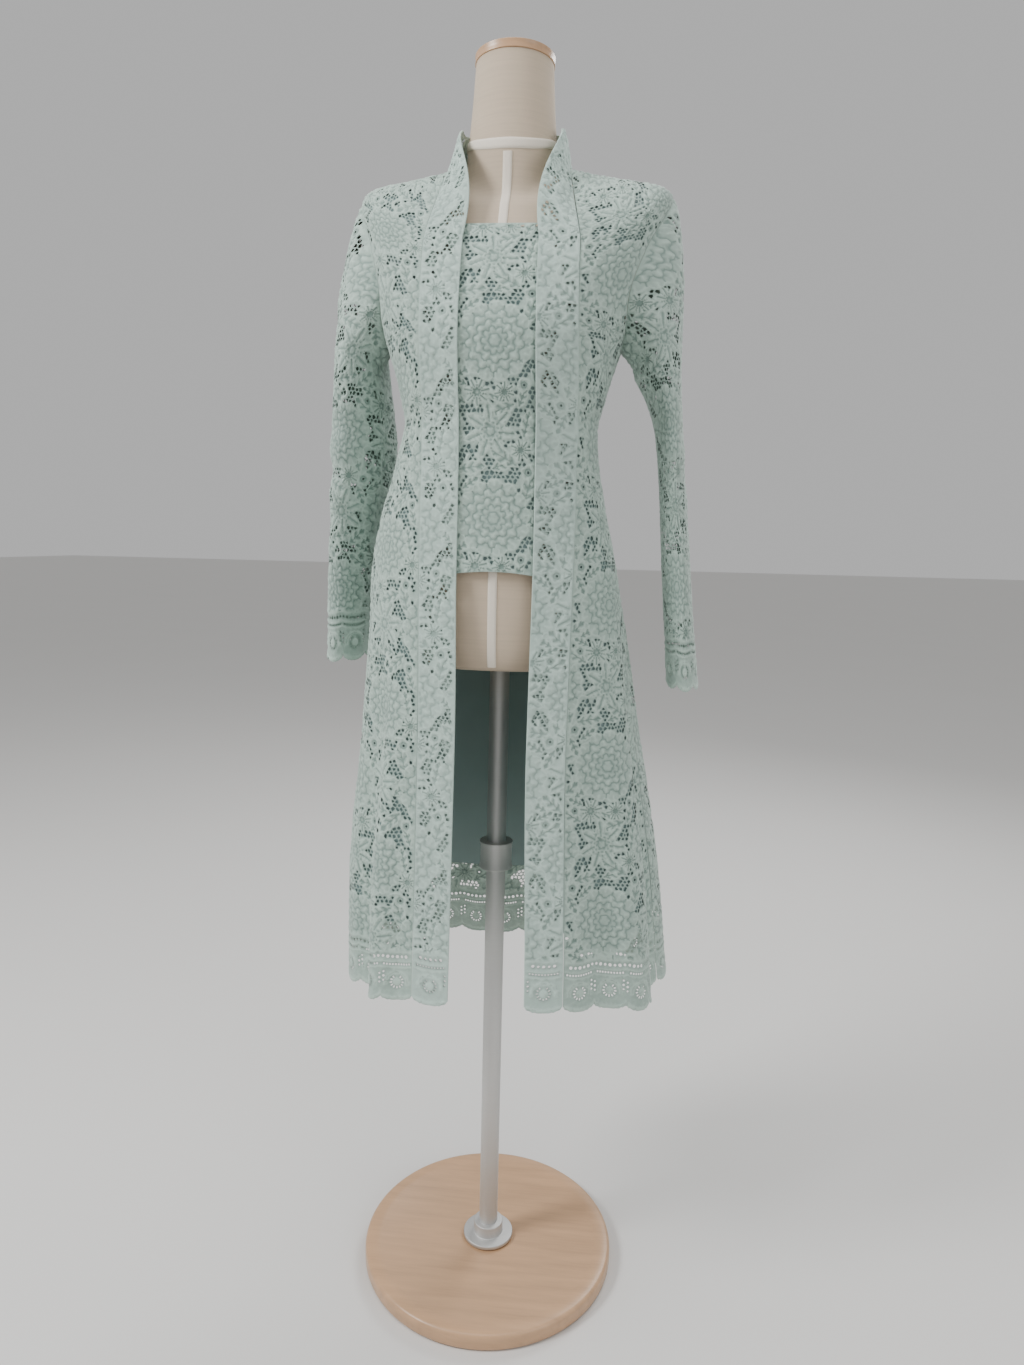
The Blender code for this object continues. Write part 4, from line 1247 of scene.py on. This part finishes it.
class KEBAYA_OT_stage(bpy.types.Operator):
    """Make the camera, the floor, the world and the soft lights"""

    bl_idname = "kebaya.stage"
    bl_label = "Stage"

    def execute(self, context):
        settings = context.scene.kebaya_stage
        camera = bpy.data.objects.new("camera", bpy.data.cameras.new("camera"))
        camera.data.lens = settings.lens
        camera.data.sensor_width = 36.0
        camera.data.clip_start = 0.05
        turn = Matrix.Rotation(radians(CAMERA_TURN), 4, "Z")
        turn = turn @ Matrix.Rotation(radians(90.0 - CAMERA_DOWN), 4, "X")
        roll = Matrix.Rotation(radians(CAMERA_ROLL), 4, "Z")
        camera.matrix_world = Matrix.Translation(CAMERA_AT) @ turn @ roll
        context.scene.collection.objects.link(camera)
        context.scene.camera = camera
        bpy.ops.mesh.primitive_plane_add(size=40.0, location=(0.0, 12.0, 0.0))
        floor = context.object
        floor.name = "floor"
        bpy.ops.object.mode_set(mode="EDIT")
        bpy.ops.mesh.subdivide(number_cuts=3)
        bpy.ops.object.mode_set(mode="OBJECT")
        bpy.ops.object.transform_apply(location=True, rotation=True, scale=True)
        floor.data.materials.append(floor_material(settings.floor_colour))
        for name, place, size, share in LAMPS:
            light = bpy.data.lights.new(name, "AREA")
            light.shape = "DISK"
            light.size = size
            light.energy = settings.key_power * share
            lamp = bpy.data.objects.new(name, light)
            lamp.location = place
            aim = Vector(LAMPS_AIM) - Vector(place)
            lamp.rotation_euler = aim.to_track_quat("-Z", "Y").to_euler()
            context.scene.collection.objects.link(lamp)
        world = bpy.data.worlds.new("studio")
        world.use_nodes = True
        background = world.node_tree.nodes["Background"]
        background.inputs["Color"].default_value = (0.87, 0.87, 0.87, 1.0)
        background.inputs["Strength"].default_value = 0.60
        context.scene.world = world
        return {"FINISHED"}


class KEBAYA_OT_form(bpy.types.Operator):
    """Make the linen dress form and its cotton tapes"""

    bl_idname = "kebaya.form"
    bl_label = "Dress form"

    def execute(self, context):
        settings = context.scene.kebaya_form
        sections = form_sections()
        rows = np.linspace(0.0, len(sections) - 1.0, 10 * (len(sections) - 1) + 1)
        turns = np.linspace(0.0, 360.0, 121)[:-1]
        rings = section_point(sections, rows[:, None], turns[None], cloth=False)
        points = [tuple(point) for ring in rings for point in ring]
        faces = []
        for row in range(len(rows) - 1):
            for column in range(120):
                a, b = row * 120 + column, row * 120 + (column + 1) % 120
                faces.append((a, a + 120, b + 120, b))
        faces += fan(0, 120, len(points), True) + fan(len(points) - 120, 120, len(points) + 1, False)
        points += [tuple(rings[0].mean(0)), tuple(rings[-1].mean(0))]
        mesh = bpy.data.meshes.new("form_linen")
        mesh.from_pydata(points, [], faces)
        obj = bpy.data.objects.new("form_linen", mesh)
        context.scene.collection.objects.link(obj)
        select_only(obj)
        bpy.ops.object.mode_set(mode="EDIT")
        bpy.ops.mesh.select_all(action="SELECT")
        bpy.ops.mesh.normals_make_consistent(inside=False)
        bpy.ops.object.mode_set(mode="OBJECT")
        bpy.ops.object.shade_smooth_by_angle(angle=radians(50.0))
        mesh.materials.append(linen_material(settings.linen_colour))
        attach(obj, "root")
        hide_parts("form_body")
        cotton = tape_material(settings.tape_colour)
        across = np.array([-1.0, -0.86, -0.45, 0.0, 0.45, 0.86, 1.0])
        lifts = np.array([0.0002, 0.0011, 0.0013, 0.0013, 0.0013, 0.0011, 0.0002])
        turns = np.linspace(0.0, 360.0, 121)
        ring = NECK_TAPE_ROW + across * NECK_TAPE_HALF
        grid = lifted(sections, ring[:, None] + 0 * turns, turns[None], lifts[:, None], cloth=False)
        tape(grid, "neck_tape", cotton)
        rows = np.linspace(NECK_TAPE_ROW + 1.5 * NECK_TAPE_HALF, len(sections) - 2.0, 160)
        rows = rows[:, None] + 0 * across
        turns = turn_at(rows, FRONT_TAPE_HALF * across, sections)
        grid = lifted(sections, rows, turns, lifts[None], cloth=False)
        tape(grid, "front_tape", cotton)
        return {"FINISHED"}


def form_sections():
    """The dress form's sections: its neck, the body's own to the waist, drawn in, and its hips."""
    body = []
    for row in range(WAIST + 1):
        front_z, side_z, back_z, right, left, front, back, mid_y, square = BODY[row]
        drop = FORM_EASE * (1.0 - float(smooth((row - SHOULDER_TIP) / 2.0)))
        half = min(right, left) - FORM_EASE
        heights = (front_z - drop * 0.5, side_z - drop, back_z - drop)
        body.append((*heights, half, half, front - FORM_EASE, back - FORM_EASE, mid_y, square))
    return FORM_NECK + tuple(body) + FORM_HIPS


def fan(start, count, hub, flipped):
    """Triangles that close a ring of points with one point in its middle."""
    triangles = [(start + index, start + (index + 1) % count, hub) for index in range(count)]
    return [face[::-1] for face in triangles] if flipped else triangles


def tape(grid, node, material):
    """A cotton tape from a grid of points."""
    shell = Shell()
    down = np.linalg.norm(np.diff(grid, axis=0), axis=2).mean(1)
    along = np.linalg.norm(np.diff(grid, axis=1), axis=2).mean(0)
    v, u = np.concatenate([[0.0], np.cumsum(down)]), np.concatenate([[0.0], np.cumsum(along)])
    cut = np.stack(np.broadcast_arrays(u[None], v[:, None]), 2)
    outward = grid - np.array([0.0, 0.02, 0.0]) * np.ones_like(grid)
    outward[..., 2] = 0.0
    shell.add_grid(grid, cut, 0.5, outward)
    obj = shell.build(node + "_cotton")
    obj.data.materials.append(material)
    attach(obj, "root")
    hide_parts(node)


def select_only(obj):
    bpy.ops.object.select_all(action="DESELECT")
    obj.select_set(True)
    bpy.context.view_layer.objects.active = obj


class KEBAYA_OT_linings(bpy.types.Operator):
    """Make the satin linings behind the body's lace"""

    bl_idname = "kebaya.linings"
    bl_label = "Linings"

    def execute(self, context):
        for side, word in ((1, "left"), (-1, "right")):
            cut = body_cut(LINING_BOTTOM, FRONT_LINING_TOP, front_edges(side), overhang=0.01)
            lining_piece(f"lining_front_{word}", cut, LINING_SINK)
        cut = body_cut(LINING_BOTTOM, BACK_LINING_TOP, back_edges, CENTRE_BACK, overhang=0.01)
        lining_piece("lining_back", cut, LINING_SINK)
        edges = centre_edges(CENTRE_HALF - 0.001)
        cut = body_cut(CENTRE_LINING_BOTTOM, CENTRE_TOP + 0.02, edges, 0.0, overhang=0.01)
        lining_piece("lining_centre", cut, CENTRE_LINING_SINK)
        return {"FINISHED"}


class KEBAYA_OT_fronts(bpy.types.Operator):
    """Make the two lace fronts"""

    bl_idname = "kebaya.fronts"
    bl_label = "Fronts"

    def execute(self, context):
        for side, word, offset in ((1, "left", (0.012, 0.055)), (-1, "right", (0.086, 0.020))):
            shell = Shell()
            cut = body_cut(HEM, FRONT_TOP, front_edges(side))
            outline = lace().lay(shell, cut, offset)
            under = [f"lining_front_{word}_satin", "form_linen"]
            lace_piece(f"front_{word}", shell, outline, under)
        return {"FINISHED"}


class KEBAYA_OT_back(bpy.types.Operator):
    """Make the lace back"""

    bl_idname = "kebaya.back"
    bl_label = "Back"

    def execute(self, context):
        shell = Shell()
        outline = lace().lay(shell, body_cut(HEM, NECK, back_edges, CENTRE_BACK), (0.040, 0.090))
        lace_piece("back", shell, outline, ["lining_back_satin", "form_linen"])
        return {"FINISHED"}


class KEBAYA_OT_centre_panel(bpy.types.Operator):
    """Make the lace centre panel between the bands"""

    bl_idname = "kebaya.centre_panel"
    bl_label = "Centre panel"

    def execute(self, context):
        shell = Shell()
        cut = body_cut(CENTRE_BOTTOM, CENTRE_TOP, centre_edges(CENTRE_HALF), 0.0, overhang=0.02)
        outline = lace().lay(shell, cut, (-0.043, 0.012), bordered=False, lift=-CENTRE_SINK, arch=0.004)
        lace_piece("centre_panel", shell, outline, ["lining_centre_satin", "form_linen"])
        return {"FINISHED"}


class KEBAYA_OT_bands(bpy.types.Operator):
    """Make the two front bands, each folded double, with half of the collar"""

    bl_idname = "kebaya.bands"
    bl_label = "Bands"

    def execute(self, context):
        for side, word, offset in ((1, "left", (0.020, 0.030)), (-1, "right", (0.095, 0.120))):
            shell = Shell()
            cut = band_cut(side)
            outline = lace().lay(shell, cut, offset, pitch=BAND_WIDTH)
            lace().lay(shell, cut, (offset[0] + 0.07, offset[1] + 0.05), pitch=BAND_WIDTH, lift=-BAND_DEEP)
            heights = np.arange(0.004, cut.levels[-1], 0.006)
            for edge, way in ((cut.starts[0], -1.0), (cut.ends[0], 1.0)):
                self.fold(shell, cut, heights, edge, way)
            more = {"layers": 2, "held": "folded"}
            lace_piece(f"band_{word}", shell, outline, ["form_linen"], "band cloth", **more)
        return {"FINISHED"}

    def fold(self, shell, cut, heights, edge, way):
        """The rounded fold along one edge of a band."""
        u = np.full(len(heights), edge)
        step = cut.at(np.clip(u - way * 0.004, 0.0, BAND_WIDTH), heights, 0.0 * u)
        out = cut.at(u, heights, 0.0 * u) - step
        out /= np.linalg.norm(out, axis=1)[:, None]
        columns = []
        for angle in np.linspace(0.0, pi, 5):
            sunk = cut.at(u, heights, -BAND_DEEP * (0.5 - 0.5 * cos(angle)) + 0.0 * u)
            columns.append(sunk + out * 0.0004 * sin(angle))
        grid = np.stack(columns, 1)
        places = np.stack(np.broadcast_arrays(u[:, None], heights[:, None], 0 * grid[:, :, 0])[:2], 2)
        # The rounded fold gets a painted lightness of 0.8, a painted light along the band's edge.
        shell.add_grid(grid, places, 0.8, np.repeat(out[:, None], 5, axis=1))


class KEBAYA_OT_sleeves(bpy.types.Operator):
    """Make the two long lace sleeves"""

    bl_idname = "kebaya.sleeves"
    bl_label = "Sleeves"

    def execute(self, context):
        pairs = (
            (1, "left", SLEEVE_LEFT, SLEEVE_CREASES_LEFT, (0.030, 0.070)),
            (-1, "right", SLEEVE_RIGHT, SLEEVE_CREASES_RIGHT, (0.110, 0.130)),
        )
        for side, word, table, creases, offset in pairs:
            shell = Shell()
            cut = sleeve_cut(side, table, creases)
            outline = lace().lay(shell, cut, offset)
            lace_piece(f"sleeve_{word}", shell, outline, [f"front_{word}_lace", "back_lace"])
        return {"FINISHED"}


def round_piece(name, radius, low, high, y, vertices=96):
    bpy.ops.object.select_all(action="DESELECT")
    middle = (0.0, y, (low + high) / 2.0)
    bpy.ops.mesh.primitive_cylinder_add(vertices=vertices, radius=radius, depth=high - low, location=middle)
    obj = bpy.context.object
    obj.name = name
    obj.data.name = name
    return obj


def faces_up(normal):
    return normal.z > 0.9


def faces_out(normal):
    return abs(normal.z) < 0.1


def choose_faces(obj, test):
    """Select in edit mode the faces that the test takes, by their normal."""
    bpy.ops.object.mode_set(mode="EDIT")
    bpy.ops.mesh.select_mode(type="FACE")
    bpy.ops.mesh.select_all(action="DESELECT")
    bpy.ops.object.mode_set(mode="OBJECT")
    for face in obj.data.polygons:
        face.select = test(face.normal)
    bpy.ops.object.mode_set(mode="EDIT")


def finish_piece(obj, material, node, bevel):
    """Round the edges of a hard piece and put its place into its mesh."""
    bpy.ops.object.mode_set(mode="OBJECT")
    select_only(obj)
    rounded = obj.modifiers.new("rounded", "BEVEL")
    rounded.width = bevel
    rounded.segments = 3
    rounded.limit_method = "ANGLE"
    rounded.angle_limit = radians(40.0)
    bpy.ops.object.modifier_apply(modifier="rounded")
    bpy.ops.object.transform_apply(location=True, rotation=True, scale=True)
    bpy.ops.object.shade_smooth_by_angle(angle=radians(35.0))
    obj.data.materials.append(material)
    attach(obj, "root")
    if node:
        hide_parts(node)


class KEBAYA_OT_neck_cap(bpy.types.Operator):
    """Make the turned wooden cap on the neck"""

    bl_idname = "kebaya.neck_cap"
    bl_label = "Neck cap"

    def execute(self, context):
        settings = context.scene.kebaya_form
        low, high = (Vector(corner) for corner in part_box("neck_cap"))
        rim = low.z + 0.0095
        middle = (low.y + high.y) / 2.0
        cap = round_piece("neck_cap_wood", settings.cap_radius, low.z, rim, middle)
        choose_faces(cap, faces_up)
        bpy.ops.mesh.inset(thickness=0.004)
        heights = (0.0028, 0.0026, 0.0020, 0.0012, 0.0004)
        for rise, inward in zip(heights, (0.006, 0.008, 0.009, 0.009, 0.008)):
            bpy.ops.mesh.inset(thickness=inward)
            bpy.ops.transform.translate(value=(0.0, 0.0, rise))
        choose_faces(cap, faces_out)
        bpy.ops.mesh.inset(thickness=0.003, use_boundary=True)
        bpy.ops.transform.resize(value=(0.985, 0.985, 1.0), center_override=(0.0, middle, rim))
        finish_piece(cap, wood_material("cap wood", settings.wood_colour), "neck_cap", 0.0012)
        return {"FINISHED"}


class KEBAYA_OT_stand(bpy.types.Operator):
    """Make the steel pole with its collars and the round wooden base"""

    bl_idname = "kebaya.stand"
    bl_label = "Stand"

    def execute(self, context):
        settings = context.scene.kebaya_form
        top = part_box("stand_base")[1][2]
        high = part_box("stand_pole")[1][2]
        steel = steel_material()
        base = round_piece("stand_base_wood", settings.base_radius, 0.0, top, 0.0, 128)
        choose_faces(base, faces_up)
        bpy.ops.mesh.inset(thickness=0.020)
        bpy.ops.mesh.inset(thickness=0.0025)
        bpy.ops.transform.translate(value=(0.0, 0.0, -0.0012))
        finish_piece(base, wood_material("base wood", settings.wood_colour), "stand_base", 0.005)
        pole = round_piece("stand_pole_steel", settings.pole_radius, top + 0.0003, high, 0.0, 64)
        choose_faces(pole, lambda normal: True)
        bpy.ops.mesh.bisect(plane_co=(0.0, 0.0, POLE_JOINT), plane_no=(0.0, 0.0, 1.0))
        finish_piece(pole, steel, "stand_pole", 0.001)
        flange = round_piece("stand_flange", FLANGE_RADIUS, top + 0.0002, top + 0.0052, 0.0, 64)
        choose_faces(flange, faces_up)
        bpy.ops.mesh.inset(thickness=0.014)
        bpy.ops.mesh.extrude_region_move(TRANSFORM_OT_translate={"value": (0.0, 0.0, 0.016)})
        finish_piece(flange, steel, None, 0.0012)
        collar = round_piece("stand_collar", COLLAR_RADIUS, *COLLAR_HEIGHTS, 0.0, 64)
        choose_faces(collar, faces_out)
        bpy.ops.mesh.inset(thickness=0.006, use_boundary=True)
        middle = (0.0, 0.0, sum(COLLAR_HEIGHTS) / 2.0)
        bpy.ops.transform.resize(value=(0.93, 0.93, 1.0), center_override=middle)
        finish_piece(collar, steel, None, 0.001)
        return {"FINISHED"}


class KEBAYA_PT_sidebar(bpy.types.Panel):
    bl_idname = "KEBAYA_PT_sidebar"
    bl_label = "Kebaya"
    bl_space_type = "VIEW_3D"
    bl_region_type = "UI"
    bl_category = "Kebaya"

    def draw(self, context):
        for settings in (context.scene.kebaya_lace, context.scene.kebaya_form, context.scene.kebaya_stage):
            box = self.layout.box()
            for name in settings.bl_rna.properties.keys():
                if name not in ("rna_type", "name"):
                    box.prop(settings, name)
        for operator in OPERATORS:
            self.layout.operator(operator.bl_idname)


OPERATORS = (
    KEBAYA_OT_stage,
    KEBAYA_OT_form,
    KEBAYA_OT_neck_cap,
    KEBAYA_OT_stand,
    KEBAYA_OT_linings,
    KEBAYA_OT_fronts,
    KEBAYA_OT_back,
    KEBAYA_OT_centre_panel,
    KEBAYA_OT_bands,
    KEBAYA_OT_sleeves,
)
GROUPS = {"kebaya_lace": LaceSettings, "kebaya_form": FormSettings, "kebaya_stage": StageSettings}


def register():
    for group in GROUPS.values():
        bpy.utils.register_class(group)
    for name, group in GROUPS.items():
        setattr(bpy.types.Scene, name, bpy.props.PointerProperty(type=group))
    for operator in OPERATORS:
        bpy.utils.register_class(operator)
    bpy.utils.register_class(KEBAYA_PT_sidebar)


def unregister():
    bpy.utils.unregister_class(KEBAYA_PT_sidebar)
    for operator in reversed(OPERATORS):
        bpy.utils.unregister_class(operator)
    for name, group in GROUPS.items():
        delattr(bpy.types.Scene, name)
        bpy.utils.unregister_class(group)


def main():
    register()
    bpy.ops.object.select_all(action="DESELECT")
    for operator in OPERATORS:
        family, name = operator.bl_idname.split(".")
        getattr(getattr(bpy.ops, family), name)()


if __name__ == "__main__":
    main()
